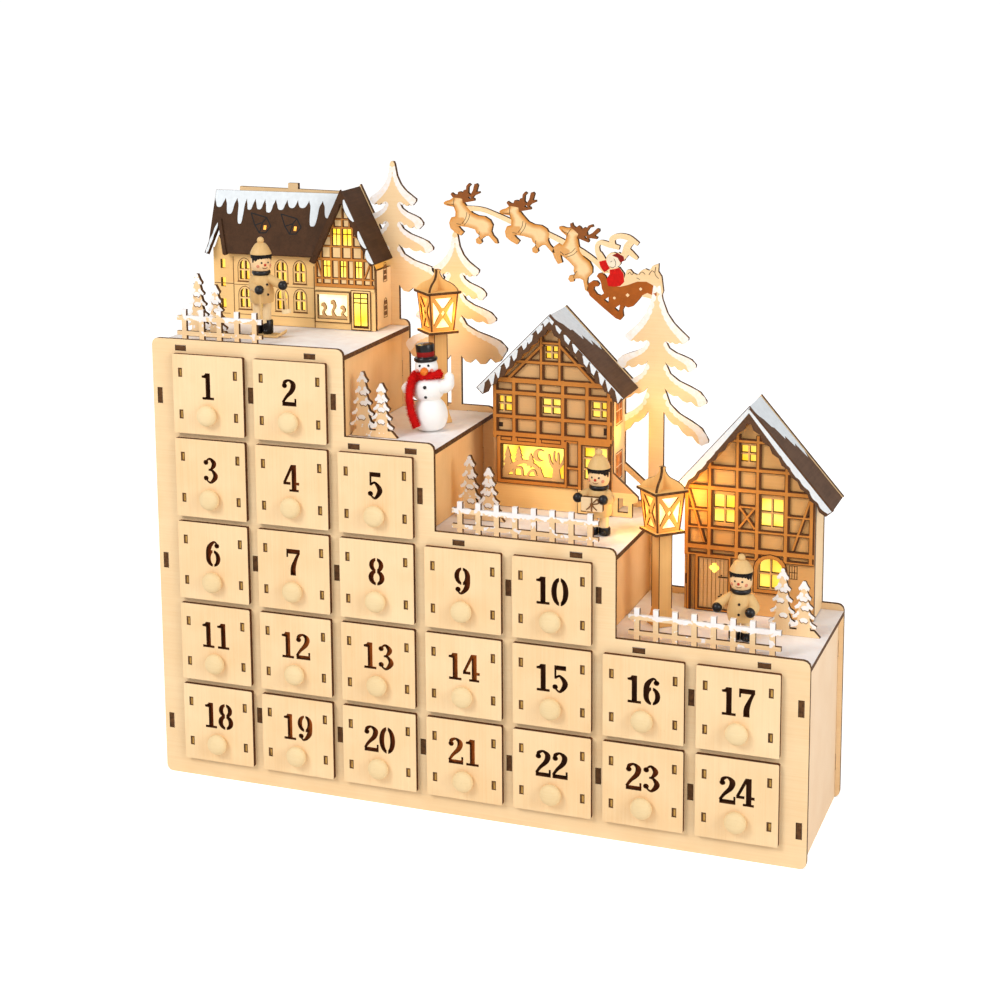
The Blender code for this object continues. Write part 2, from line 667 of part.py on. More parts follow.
def build_back_panel():
    outlines = [stepped_outline()]
    tops = [step_top(row) - PANEL_CORNER for row in range(4)]
    decks = [deck_top(row) for row in range(4)]

    def on_step(index, loop):
        return moved(loop, STEP_MIDDLES[index], decks[index])

    house_1 = in_mm(((-54.2, 0), (-54.2, 86.4), (-19.1, 85.9), (-19.1, 89.5), (-12.0, 89.5),
                     (-12.0, 85.8), (32.0, 85.0), (52.0, 50.0), (55.0, 0)))
    outlines.append(on_step(0, house_1))
    for index, house in ((0, GABLE_1), (2, HOUSE_2), (3, HOUSE_3)):
        outlines.append(moved(roof_outline(house, 3 * MM), STEP_MIDDLES[index] + house["shift"],
                              decks[index]))
    fir_places = (
        (STEP_EDGES[0] - 10.0 * MM, decks[0] + 105.8 * MM, FIR_TIERS, TRUNK_HALF, tops[0]),
        (STEP_EDGES[1] - 25.3 * MM, decks[1] + 115.2 * MM, FIR_TIERS, TRUNK_HALF, tops[1]),
        (STEP_EDGES[2] - 5.1 * MM, decks[2] + 145.6 * MM, TALL_FIR_TIERS, TALL_TRUNK_HALF, tops[2]),
    )
    for place in fir_places:
        outlines += fir(*place)
    outlines += team_outlines()
    brace = in_mm(((37.0, 26.4), (52.4, 13.6)))
    outlines.append(moved(bar(*brace, 3.4 * MM), STEP_MIDDLES[2] + HOUSE_2["shift"], decks[2]))
    holes = tab_slots()
    for loop in SLEIGH_HOLES:
        holes.append(in_mm(loop))
    for x, z, degrees in REINDEER_PLACES:
        eye = turned_loop(in_mm(REINDEER_LOOP), math.radians(degrees))
        holes.append(moved(eye, x * MM, z * MM))
    holes.append(battery_window())
    sheet("back_panel", outlines, holes, PLY, BIRCH, (0, BACK_Y, 0), FACING)


def battery_middle():
    """Middle of the battery box: behind the middle drawer of the third row."""
    return (column_left(3) + FRONT_W / 2, (row_top(2) + deck_top(3)) / 2)


def battery_window():
    x, z = battery_middle()
    half_w, half_h = BATTERY_W / 2 + SEAT, BATTERY_H / 2 + SEAT
    return box(x - half_w, z - half_h, x + half_w, z + half_h)


def build_battery_box():
    x, z = battery_middle()
    case = sheet("battery_box",
                 [rounded_box(x - BATTERY_W / 2, z - BATTERY_H / 2, x + BATTERY_W / 2,
                              z + BATTERY_H / 2, 1.5 * MM)],
                 [], BATTERY_D, PLASTIC, (0, BACK_Y, 0), FACING)
    lip_w, lip_h = BATTERY_W / 2 + BATTERY_LIP, BATTERY_H / 2 + BATTERY_LIP
    flange = sheet("flange", [rounded_box(x - lip_w, z - lip_h, x + lip_w, z + lip_h, 2 * MM)],
                   [], THIN_PLY, PLASTIC, (0, INNER_BACK - SEAT, 0), FACING)
    joined(case, [flange])
    low_x, half_h = x + BATTERY_W / 4, SWITCH_H / 2 + SEAT
    pocket_end = low_x + SWITCH_W + SWITCH_TRAVEL + 2 * SEAT
    pocket = block("pocket", (low_x, BACK_Y - SWITCH_POCKET, z - half_h),
                   (pocket_end, BACK_Y + PLY, z + half_h), PLASTIC)
    seam_z = z + BATTERY_H / 3
    seam = block("seam", (x - BATTERY_W, BACK_Y - 0.5 * MM, seam_z),
                 (x + BATTERY_W, BACK_Y + PLY, seam_z + 0.5 * MM), PLASTIC)
    cut(case, [pocket, seam])
    ribs = [box(low_x + SEAT + step * SWITCH_W / 4, BACK_Y - SWITCH_POCKET + SEAT,
                low_x + SEAT + (step + 0.55) * SWITCH_W / 4, BACK_Y) for step in range(4)]
    base = box(low_x + SEAT, BACK_Y - SWITCH_POCKET + SEAT, low_x + SEAT + SWITCH_W,
               BACK_Y - 0.5 * MM)
    end_rib = box(low_x + SEAT + SWITCH_W * 0.86, BACK_Y - SWITCH_POCKET + SEAT,
                  low_x + SEAT + SWITCH_W, BACK_Y)
    sheet("power_switch", [base, end_rib] + ribs, [], SWITCH_H, PLASTIC, (0, 0, z - SWITCH_H / 2))


def panes(left, bottom, right, top, bar_width=1.0 * MM, columns=2, rows=2, head=None):
    """The glass holes of a window, split by glazing bars; an arched head rounds the top row."""
    width = (right - left - (columns - 1) * bar_width) / columns
    height = (top - bottom - (rows - 1) * bar_width) / rows
    holes = []
    for column in range(columns):
        for row in range(rows):
            u = left + column * (width + bar_width)
            v = bottom + row * (height + bar_width)
            loop = box(u, v, u + width, v + height)
            if head == "arched" and row == rows - 1:
                outer, inner = (u, u + width) if column == 0 else (u + width, u)
                arc = [(outer + (inner - outer) * (1 - math.cos(a)),
                        v + height * (0.45 + 0.55 * math.sin(a)))
                       for a in [math.pi / 2 * step / 3 for step in range(4)]]
                loop = [(inner, v), (outer, v)] + arc
            holes.append(loop)
    return holes


def timber_limit(house):
    return gable_wall(house, roof_slope_gap(house), TIMBER_INSET)


def gable_rafters(house, width):
    """The timbers along both slopes of a gable wall."""
    wall = gable_wall(house, roof_slope_gap(house))
    (eave_x, eave), (_, top) = wall[2], wall[3]
    drop = width / math.cos(math.atan2(house["drop"], house["reach"]))
    right = [(eave_x, eave), (eave_x, eave - drop)]
    return [(0, top)] + right + [(0, top - drop)] + mirrored(right)[::-1]


def gable_wall(house, slope_gap, inset=0.0):
    """A gable wall that fits under its roof: half width, and slopes parallel to the roof's."""
    half, under = house["half"] - inset, house["ridge"] - slope_gap - 2 * inset
    eave = under - half * house["drop"] / house["reach"]
    return [(-half, SEAT + inset), (half, SEAT + inset), (half, eave), (0, under), (-half, eave)]


def roof_slope_gap(house):
    """How far below the ridge line a wall has to stay, straight down."""
    angle = math.atan2(house["drop"], house["reach"])
    return (ROOF_LAP + ROOF_PLY + ROOF_GAP) / math.cos(angle)


def side_wall(name, x, low, high, material, windows=()):
    """A house's side wall, from behind its front wall to the back panel."""
    return sheet(name, [box(FACADE_Y + WALL_PLY - OVERLAP, low, INNER_BACK - SEAT, high)],
                 list(windows), WALL_PLY, material, (x, 0, 0), SIDEWAYS)


def build_house(name, step, house, wall_holes, timbers, timber_holes, annex=()):
    """A half-timbered house: front wall with its windows, a layer of beams on it, and two sides."""
    middle = STEP_MIDDLES[step] + house["shift"]
    deck = deck_top(step)
    wall = gable_wall(house, roof_slope_gap(house))
    place = (middle, FACADE_Y + WALL_PLY, deck)
    front = sheet(name, [wall] + list(annex), wall_holes, WALL_PLY, TIMBER, place, FACING)
    layer = sheet("beams", timbers, timber_holes, THIN_PLY + OVERLAP, TIMBER,
                  (middle, FACADE_Y + OVERLAP, deck), FACING, [timber_limit(house)])
    eave = wall[2][1]
    inset = OVERLAP / 2
    sides = [
        side_wall("left side", middle - house["half"] + inset, deck + 2 * SEAT,
                  deck + eave - ROOF_GAP, TIMBER),
        side_wall("right side", middle + house["half"] - inset - WALL_PLY, deck + 2 * SEAT,
                  deck + eave - ROOF_GAP, TIMBER),
    ]
    joined(front, [layer] + sides)


def beam_rows(left, right, rows):
    """Level beams between two sides: (bottom, top) of each in millimetres."""
    return [box(left, low * MM, right, high * MM) for low, high in rows]


def posts(places, width, low, high):
    return [box((u - width / 2) * MM, low * MM, (u + width / 2) * MM, high * MM) for u in places]


def build_house_2():
    half = HOUSE_2["half"]
    glass = panes(*in_mm([(-36.2, 61.4, -26.4, 70.8)])[0])
    glass += panes(*in_mm([(-6.4, 61.4, 5.4, 70.8)])[0])
    glass += panes(*in_mm([(25.4, 61.4, 36.0, 70.8)])[0])
    glass += panes(*in_mm([(-4.4, 96.0, 3.8, 103.8)])[0])
    shop = box(*in_mm([(-33.0, 18.6, 7.6, 40.4)])[0])
    door_glass = panes(*in_mm([(20.4, 22.0, 34.6, 42.0)])[0], columns=2, rows=3)
    slopes = [gable_rafters(HOUSE_2, 3.2 * MM)]
    timbers = beam_rows(-half, half, ((44.4, 49.4), (57.0, 60.2), (72.0, 75.4), (79.6, 83.6)))
    timbers += beam_rows(-27 * MM, 27 * MM, ((92.2, 95.0),))
    timbers += beam_rows(-6 * MM, 5 * MM, ((104.8, 107.2),))
    timbers += posts((-36.6, -24.1, -8.5, 7.4, 22.9, 36.6), 3.6, 44.4, 83.0)
    timbers += posts((-6.4, 5.4), 3.0, 80.0, 111.0)
    timbers += [bar(*in_mm(((-28.0, 82.0), (-5.4, 104.8))), 2.6 * MM),
                bar(*in_mm(((28.0, 82.0), (5.4, 104.8))), 2.6 * MM)]
    # The shop front and the door frame below the jettied storey
    timbers += [box(*in_mm([(-36.0, 15.6, 10.6, 45.0)])[0]), box(*in_mm([(16.4, 0.3, 37.6, 46.0)])[0])]
    timbers += [box(*in_mm([(10.0, 27.6, 17.0, 30.0)])[0]), box(*in_mm([(10.0, 15.6, 17.0, 18.0)])[0])]
    openings = [shop, box(*in_mm([(19.2, 2.4, 35.8, 43.4)])[0])]
    stair = in_mm(((36.0, 0.3), (50.6, 0.3), (50.6, 9.0), (54.4, 10.8), (54.2, 13.4), (38.0, 27.6),
                   (36.0, 27.6)))
    treads = in_mm(((41.6, 3.0), (48.2, 3.0), (48.2, 7.6), (45.0, 7.6), (45.0, 12.0), (41.6, 12.0)))
    build_house("house_2", 2, HOUSE_2, glass + [shop, treads] + door_glass, timbers + slopes,
                openings, [stair])


def build_house_3():
    half = HOUSE_3["half"]
    glass = panes(*in_mm([(-21.6, 56.0, -8.4, 73.0)])[0])
    glass += panes(*in_mm([(6.8, 56.0, 20.0, 73.0)])[0])
    glass += panes(*in_mm([(-5.4, 94.6, 3.6, 104.4)])[0])
    glass += panes(*in_mm([(6.4, 18.0, 20.0, 36.0)])[0], head="arched")
    quatrefoil = circle(-20.8 * MM, 28.6 * MM, 2.4 * MM, 8)
    slopes = [gable_rafters(HOUSE_3, 3.2 * MM)]
    timbers = beam_rows(-half, half, ((34.6, 36.6), (38.6, 42.4), (75.6, 79.0)))
    timbers += beam_rows(-37 * MM, -23 * MM, ((62.4, 64.6), (51.4, 53.6)))
    timbers += beam_rows(-23 * MM, 37 * MM, ((51.4, 53.8),))
    timbers += beam_rows(22 * MM, 37 * MM, ((62.4, 64.6),))
    timbers += beam_rows(-30 * MM, 30 * MM, ((88.6, 91.6),))
    timbers += beam_rows(-17 * MM, 17 * MM, ((106.0, 108.6),))
    timbers += posts((-37.4, -23.6, -7.0, 5.2, 22.4, 37.4), 3.6, 34.8, 78.0)
    timbers += posts((-7.0, 5.2), 3.2, 77.0, 111.0) + posts((-23.6, 22.4), 3.2, 77.0, 93.0)
    braces = (((-36.6, 75.0), (-26.6, 43.0)), ((36.6, 75.0), (26.6, 43.0)),
              ((-5.6, 54.0), (3.8, 67.0)), ((3.8, 54.0), (-5.6, 67.0)))
    timbers += [bar(*in_mm(brace), 2.2 * MM) for brace in braces]
    timbers += [box(*in_mm([(-5.6, 66.2, 3.8, 68.4)])[0])]
    # Door frame, door boards and the hood over the ground-floor window
    timbers += [box(*in_mm([(-37.6, 0.3, -35.0, 36.0)])[0]), box(*in_mm([(-32.6, 0.3, -9.8, 35.6)])[0])]
    timbers += [arched(*in_mm([(3.4, 15.4, 23.0, 39.0)])[0])]
    doorway = box(*in_mm([(-30.2, 2.0, -12.4, 33.4)])[0])
    window = arched(*in_mm([(5.6, 17.2, 20.8, 36.8)])[0])
    build_house("house_3", 3, HOUSE_3, glass + [quatrefoil], timbers + slopes, [doorway, window])


def build_house_1():
    deck, middle = deck_top(0), STEP_MIDDLES[0]
    gable = moved(gable_wall(GABLE_1, roof_slope_gap(GABLE_1)), GABLE_1["shift"], 0)
    right = GABLE_1["shift"] + GABLE_1["half"]
    main = box(HOUSE_1_LEFT, SEAT, GABLE_1["shift"], HOUSE_1_EAVE + 3.4 * MM)
    tower = in_mm(((-61.2, 30.0), (-51.6, 30.0), (-51.6, 46.0), (-56.8, 57.5), (-61.2, 47.0)))
    slot = roof_boards(GABLE_1, ROOF_LAP - 0.9 * ROOF_GAP, ROOF_PLY + 1.8 * ROOF_GAP, ROOF_GAP)
    holes = [moved(slot, GABLE_1["shift"], 0)]
    for u in (-39.0, -25.8, -12.6, 0.4):
        for v in (11.0, 29.4):
            holes += panes(*in_mm([(u - 3.4, v, u + 3.4, v + 12.4)])[0], head="arched")
    for v in (10.0, 24.0, 36.0):
        holes.append(box(*in_mm([(-56.2, v, -52.8, v + 6.0)])[0]))
    for u in (19.0, 30.2, 41.4):
        holes += panes(*in_mm([(u, 30.0, u + 4.2, 42.0)])[0], columns=1, rows=2)
    for u in (25.2, 33.4):
        holes += panes(*in_mm([(u, 51.0, u + 4.6, 63.0)])[0], columns=1, rows=2)
    shop = box(*in_mm([(12.6, 6.6, 33.4, 22.4)])[0])
    door_glass = panes(*in_mm([(38.2, 8.0, 47.4, 23.4)])[0])
    front = sheet("house_1", [main, gable, tower], holes + [shop] + door_glass, WALL_PLY, TIMBER,
                  (middle, FACADE_Y + WALL_PLY, deck), FACING)
    left_edge = GABLE_1["shift"] - GABLE_1["half"]
    timbers = beam_rows(left_edge, right, ((25.2, 28.4), (43.6, 46.4)))
    timbers += beam_rows(17.6 * MM, 46.4 * MM, ((49.0, 50.4),))
    timbers += beam_rows(22.4 * MM, 41.6 * MM, ((63.8, 65.6),))
    timbers += beam_rows(25.4 * MM, 38.4 * MM, ((70.4, 71.8),))
    timbers += posts((12.6, 17.0, 25.0, 28.4, 36.4, 39.6, 47.6, 51.4), 1.6, 25.4, 45.0)
    timbers += posts((24.0, 32.0, 40.0), 1.6, 44.0, 66.0) + posts((28.4, 35.6), 1.4, 64.0, 74.0)
    timbers += [box(*in_mm([(10.8, 4.4, 35.2, 24.4)])[0]), box(*in_mm([(36.2, 0.3, 49.6, 26.0)])[0])]
    frames = [shop, box(*in_mm([(37.6, 1.8, 48.2, 24.6)])[0])]
    layer = sheet("beams", timbers, frames, THIN_PLY / 2 + OVERLAP, TIMBER,
                  (middle, FACADE_Y + OVERLAP, deck), FACING,
                  [moved(timber_limit(GABLE_1), GABLE_1["shift"], 0)])
    inset = OVERLAP / 2
    eave = gable[2][1]
    sides = [
        side_wall("left side", middle + HOUSE_1_LEFT + inset, deck + 2 * SEAT,
                  deck + HOUSE_1_EAVE - ROOF_GAP, TIMBER),
        side_wall("right side", middle + right - WALL_PLY - inset, deck + 2 * SEAT,
                  deck + eave - ROOF_GAP, TIMBER),
    ]
    joined(front, [layer] + sides)


def roof_boards(house, lap, thickness, spare=0.0):
    """Both slopes of a roof seen from the front, as one bent strip this far below the barge's top."""
    angle = math.atan2(house["drop"], house["reach"])
    top = house["ridge"] - lap / math.cos(angle)
    end = house["reach"] - ROOF_LAP + spare
    eave = top - end * math.tan(angle)
    right = [(end, eave),
             (end - thickness * math.sin(angle), eave - thickness * math.cos(angle))]
    under = (0, top - thickness / math.cos(angle))
    return [(0, top)] + right + [under] + mirrored(right)[::-1]


def barge_board(house, width, waves, depth):
    """The board along both gable slopes, with a wavy lower edge."""
    reach, drop, ridge = house["reach"], house["drop"], house["ridge"]
    length = math.hypot(reach, drop)
    normal = Vector((-drop, -reach)) / length
    along = Vector((reach, -drop)) / length
    lower = []
    for step in range(2 * waves + 1):
        t = step / (2 * waves)
        out = width + (depth if step % 2 else -depth)
        lower.append(Vector((0, ridge)) + along * length * t + normal * out)
    apex = Vector((0, ridge - (width + depth) * length / reach))
    lower = [spot for spot in lower if spot.x > 0.4 * MM]
    half = [(0, ridge), (reach, ridge - drop)] + [tuple(spot) for spot in reversed(lower)]
    left = mirrored(half[1:])[::-1]
    return half + [tuple(apex)] + left


def build_roof(name, step, house, board_width, waves, depth, board_y):
    """A pitched roof of two slopes behind its barge board."""
    middle, deck = STEP_MIDDLES[step] + house["shift"], deck_top(step)
    board = sheet(name, [barge_board(house, board_width, waves, depth)], [], THIN_PLY + OVERLAP,
                  ROOF_PAINT, (middle, board_y + THIN_PLY + OVERLAP, deck), FACING)
    back = INNER_BACK - ROOF_GAP
    slopes = sheet("slopes", [roof_boards(house, ROOF_LAP, ROOF_PLY)], [], back - board_y - THIN_PLY,
                   ROOF_PAINT, (middle, back, deck), FACING)
    return joined(board, [slopes])


def build_roofs():
    build_roof("house_2_roof", 2, HOUSE_2, 6.4 * MM, 9, 0.7 * MM, FACADE_Y - 6.0 * MM)
    build_roof("house_3_roof", 3, HOUSE_3, 6.6 * MM, 9, 0.7 * MM, FACADE_Y - 6.0 * MM)
    roof = build_roof("house_1_roof", 0, GABLE_1, 3.6 * MM, 6, 0.3 * MM, FACADE_Y - 5.0 * MM)
    middle, deck = STEP_MIDDLES[0], deck_top(0)
    rise = HOUSE_1_RIDGE - HOUSE_1_EAVE
    lean = math.atan2(HOUSE_1_ROOF_LEAN, rise)
    length = math.hypot(rise, HOUSE_1_ROOF_LEAN)
    # The main slope ends inside the cross gable's own boards
    run = GABLE_1["reach"] / GABLE_1["drop"]
    inside = GABLE_1["shift"] + ROOF_PLY * 0.7
    foot_x = inside - (GABLE_1["ridge"] - HOUSE_1_EAVE) * run
    head_x = inside - (GABLE_1["ridge"] - HOUSE_1_RIDGE) * run
    left, tower, notch_top = HOUSE_1_LEFT - 1.6 * MM, HOUSE_1_LEFT + 4.4 * MM, 0.5 * length
    outline = [(left, 0), (tower, notch_top), (tower + 7.0 * MM, 0), (foot_x, 0),
               (head_x, length), (left, length)]
    turn = (math.pi / 2 - lean, 0, 0)
    main = sheet("main slope", [outline], [], ROOF_PLY, ROOF_PAINT,
                 (middle, FACADE_Y - 2.6 * MM, deck + HOUSE_1_EAVE), turn)
    boards = [bar((tower + foot, -0.6 * MM), (tower, notch_top + 1.5 * MM), 2.4 * MM)
              for foot in (-6.0 * MM, 7.2 * MM)]
    cap = sheet("tower slope", boards, [], ROOF_PLY, ROOF_PAINT,
                (middle, FACADE_Y - 4.1 * MM, deck + HOUSE_1_EAVE), turn)
    joined(roof, [main, cap])


# Lamps: (place across the chest, setback, row below)
LAMP_PLACES = ((STEP_EDGES[1] - 23.8 * MM, 70.0 * MM, 1), (STEP_EDGES[2] + 15.4 * MM, 44.3 * MM, 3))
FRET_PLY = 1.0 * MM
LAMP_FOOT = 8.8 * MM
LAMP_POST = 6.1 * MM
LAMP_POST_TOP = 57.6 * MM
LANTERN_FLOOR = 13.8 * MM
LANTERN_LOW = 10.6 * MM
LANTERN_HIGH = 13.6 * MM
LANTERN_TOP = 82.0 * MM
LAMP_EAVE = 15.8 * MM
LAMP_TIP = 96.0 * MM


def fret_panel(low_half, high_half, height, spare):
    """One side of the lantern: a frame round two pairs of leaf-shaped holes."""
    rim = 1.5 * MM
    outline = [(-low_half - spare, 0), (low_half + spare, 0), (high_half + spare, height),
               (-high_half - spare, height)]
    holes = []
    for level in (0.28, 0.68):
        half = low_half + (high_half - low_half) * level - rim
        for side in (-1, 1):
            u, v = side * half * 0.5, height * level
            wide, tall = half * 0.42, height * 0.15
            holes.append([(u, v - tall), (u + wide, v), (u, v + tall), (u - wide, v)])
    return outline, holes


def build_lamps():
    for number, (x, setback, row) in enumerate(LAMP_PLACES, 1):
        place = (x, FACE_Y + setback, deck_top(row))
        post = turned(f"lamp_{number}", [
            (LAMP_FOOT, SEAT), (LAMP_FOOT, 1.6 * MM), (LAMP_POST + 0.6 * MM, 8.0 * MM),
            (LAMP_POST, 12.0 * MM), (LAMP_POST, LAMP_POST_TOP), (LANTERN_FLOOR, LAMP_POST_TOP),
            (LANTERN_FLOOR, LAMP_POST_TOP + THIN_PLY),
        ], 4, LAMP_WOOD, place, smooth=False)
        roof = turned("lantern roof", [
            (LAMP_EAVE, LANTERN_TOP), (LAMP_EAVE, LANTERN_TOP + THIN_PLY),
            (LAMP_EAVE * 0.55, LANTERN_TOP + 4.2 * MM), (LAMP_EAVE * 0.3, LANTERN_TOP + 8.0 * MM),
            (1.7 * MM, LANTERN_TOP + 9.4 * MM), (2.4 * MM, LAMP_TIP - 2.0 * MM),
            (1.4 * MM, LAMP_TIP),
        ], 4, LAMP_WOOD, place, smooth=False)
        low_z = LAMP_POST_TOP + THIN_PLY - OVERLAP
        rise = LANTERN_TOP + OVERLAP - low_z
        low_half, high_half = LANTERN_LOW * math.sqrt(0.5), LANTERN_HIGH * math.sqrt(0.5)
        splay = math.atan2(high_half - low_half, rise)
        panels = []
        for quarter in range(4):
            angle = math.pi / 4 + quarter * math.pi / 2
            spare = FRET_PLY / 4 if quarter % 2 else -FRET_PLY / 2
            out = Vector((math.cos(angle), math.sin(angle), 0))
            spot = Vector(place) + Vector((0, 0, low_z)) + out * (low_half - FRET_PLY)
            outline, holes = fret_panel(low_half, high_half, rise / math.cos(splay), spare)
            panels.append(sheet(f"fret {quarter}", [outline], holes, FRET_PLY, LAMP_WOOD, spot,
                                (math.pi / 2 + splay, 0, angle + math.pi / 2)))
        joined(post, panels + [roof])


SNOWMAN_PLACE = (-20.6 * MM, 48.0 * MM)
SNOWMAN_LEAN = math.radians(-3.6)


def build_snowman():
    x, y, z = STEP_EDGES[1] + SNOWMAN_PLACE[0], FACE_Y + SNOWMAN_PLACE[1], deck_top(1)
    spine = Vector((math.sin(SNOWMAN_LEAN), 0, math.cos(SNOWMAN_LEAN)))
    foot = Vector((x, y, z + SEAT))

    def spot(across, back, up):
        return foot + spine * up * MM + Vector((across * MM, back * MM, 0))

    def piece(name, profile, up, steps=14):
        return turned(name, in_mm(profile), steps, WHITE_BALL, spot(0, 0, up), (0, SNOWMAN_LEAN, 0))

    body = turned("snowman", in_mm([(6.0, 0), (9.0, 2.2), (10.9, 7.0), (11.0, 11.4), (9.4, 16.6),
                                    (6.4, 20.0)]), 14, WHITE_BALL, foot)
    parts = [
        piece("chest", [(6.0, -9.0), (8.8, -5.2), (9.8, 0), (8.6, 5.2), (4.4, 8.8)], 25.0),
        piece("head", [(5.2, -5.0), (7.0, -2.0), (7.3, 1.0), (6.2, 4.4), (3.0, 6.6)], 37.8),
        piece("brim", [(6.9, 0), (6.9, 1.4)], 43.2),
        piece("crown", [(5.1, 0.6), (5.7, 9.2), (5.2, 10.0)], 43.2),
        piece("scarf", [(4.0, -3.0), (8.4, -2.0), (9.0, 0), (8.4, 2.0), (4.0, 3.0)], 33.2),
        limb("left arm", spot(-6, 0, 27), spot(-14, -2, 25.5), 3.4 * MM, 3.2 * MM, WHITE_BALL),
        limb("right arm", spot(6, 0, 26), spot(13, -2, 29), 3.4 * MM, 3.0 * MM, WHITE_BALL),
        limb("nose", spot(0, -6, 37.8), spot(0, -10, 37), 1.8 * MM, 1.0 * MM, WHITE_BALL, 6),
        limb("scarf tail", spot(-6, -7.5, 32), spot(-9, -9.5, 6), 2.8 * MM, 2.4 * MM, WHITE_BALL),
    ]
    joined(body, parts)


# Figures: (step, place across from the step's start, setback, height over the coat's foot)
FIGURE_PLACES = ((0, 54.6 * MM, 44.0 * MM), (2, 89.4 * MM, 38.7 * MM), (3, 65.2 * MM, 33.6 * MM))


def figure_body(lift):
    """Turned body of a figure: coat, neck, head, cap and bobble, on legs of a given lift."""
    shape = ((0, 3.0), (5.6, 3.0), (7.4, 4.6), (8.0, 9.0), (6.6, 17.5), (4.4, 20.4), (5.4, 21.4),
             (6.6, 24.8), (6.3, 29.0), (7.2, 30.4), (6.9, 33.0), (3.4, 40.6), (1.6, 42.4),
             (2.6, 44.0), (1.9, 45.8), (0, 46.4))
    return [(radius * MM, (height + lift) * MM) for radius, height in shape]


def build_figure(number, step, across, setback, lift, hands, extras):
    x, y, z = STEP_STARTS[step] + across, FACE_Y + setback, deck_top(step)
    name = f"figure_{number}"
    body = turned(name, figure_body(lift), 12, TURNED_WOOD, (x, y, z))
    parts = []
    for side, (hand_x, hand_y, hand_z) in zip((-1, 1), hands):
        sole = 1.0 if number == 1 else 0.3
        leg = in_mm([(2.9, sole), (3.3, 1.7), (3.3, 5.0), (2.6, 6.0), (2.5, lift + 5.5)])
        parts.append(turned(f"leg {side}", leg, 8, TURNED_WOOD, (x + side * 3.4 * MM, y, z)))
        shoulder = (x + side * 5.4 * MM, y, z + (lift + 16.5) * MM)
        hand = (x + hand_x * MM, y + hand_y * MM, z + (lift + hand_z) * MM)
        parts.append(limb(f"arm {side}", shoulder, hand, 2.7 * MM, 2.2 * MM, TURNED_WOOD, 7))
        parts.append(ball(f"hand {side}", hand, 3.0 * MM, TURNED_WOOD, 8, 5))
    parts += extras(x, y, z)
    joined(body, parts)


def ski_and_sticks(x, y, z):
    ski = sheet("ski", [rounded_box(x - 6 * MM, y - 13 * MM, x + 10 * MM, y + 11 * MM, 4 * MM)], [],
                1.8 * MM, TURNED_WOOD, (0, 0, z + SEAT))
    sticks = [limb(f"stick {side}", (x + top[0] * MM, y + top[1] * MM, z + top[2] * MM),
                   (x + foot[0] * MM, y + foot[1] * MM, z + foot[2] * MM), 0.9 * MM, 0.9 * MM,
                   TURNED_WOOD, 6)
              for side, top, foot in ((0, (1.6, -9.5, 31), (3.1, -10.5, 11)),
                                      (1, (15.6, -6, 35), (18.4, -7, 16)))]
    baskets = [ball(f"basket {i}", (x + u * MM, y + v * MM, z + w * MM), 2.6 * MM, TURNED_WOOD, 8, 4, 0.6)
               for i, (u, v, w) in enumerate(((3.1, -10.5, 11), (18.4, -7, 16)))]
    return [ski] + sticks + baskets


def parcel(x, y, z):
    return [block("parcel", (x - 8 * MM, y - 12 * MM, z + 16.5 * MM),
                  (x + 5 * MM, y - 6 * MM, z + 25 * MM), TURNED_WOOD)]


def nothing(x, y, z):
    return []


def build_figures():
    lifts = (15.0, 7.0, 4.0)
    hands = (((1.6, -9.5, 14.6), (15.6, -6.0, 18.4)), ((-10.5, -8.0, 16.0), (5.6, -10.0, 15.6)),
             ((-11.5, -6.0, 10.0), (8.5, -8.0, 9.5)))
    extras = (ski_and_sticks, parcel, nothing)
    for number, place in enumerate(FIGURE_PLACES, 1):
        build_figure(number, *place, lifts[number - 1], hands[number - 1], extras[number - 1])


# Fences: (step, first picket from the step's start, pitch, pickets, setback)
FENCES = ((0, 15.9 * MM, 12.1 * MM, 5, 14.0 * MM), (2, 11.9 * MM, 11.5 * MM, 8, 12.0 * MM),
          (3, 9.9 * MM, 11.25 * MM, 8, 11.0 * MM))
PICKET_W = 3.2 * MM
PICKET_H = 20.2 * MM
FENCE_PLY = 2.4 * MM


def build_fences():
    for number, (step, first, pitch, pickets, setback) in enumerate(FENCES, 1):
        start, deck = STEP_STARTS[step] + first, deck_top(step)
        outlines = [box(start + i * pitch - PICKET_W / 2, SEAT, start + i * pitch + PICKET_W / 2,
                        PICKET_H) for i in range(pickets)]
        end = start + (pickets - 1) * pitch
        for low, high in ((4.0, 6.6), (13.2, 16.2)):
            outlines.append(box(start - 5.0 * MM, low * MM, end + 5.0 * MM, high * MM))
        sheet(f"fence_{number}", outlines, [], FENCE_PLY, SNOW_PAINT,
              (0, FACE_Y + setback + FENCE_PLY / 2, deck), FACING)


def young_fir(height, half_width, tiers=5):
    """A small fir with drooping, snow-tipped branches: each tier steps out and falls back in."""
    side = [(0.7, height)]
    for tier in range(tiers):
        share = (tier + 1) / tiers
        low = height * (1 - 0.84 * share)
        reach = half_width * (0.28 + 0.72 * share)
        side += [(reach * 0.62, low + 3.2), (reach, low + 1.4), (reach - 0.5, low)]
        side.append((reach * 0.5, low + 0.9))
    side.append((half_width * 0.55, 0.3))
    return in_mm(side + mirrored(side)[::-1])


TREE_PAIRS = ((0, 17.2 * MM, 30.0 * MM), (1, 3.8 * MM, 21.0 * MM), (2, 6.0 * MM, 45.0 * MM),
              (3, 85.8 * MM, 52.0 * MM))
PAIR_SPACING = 12.4 * MM


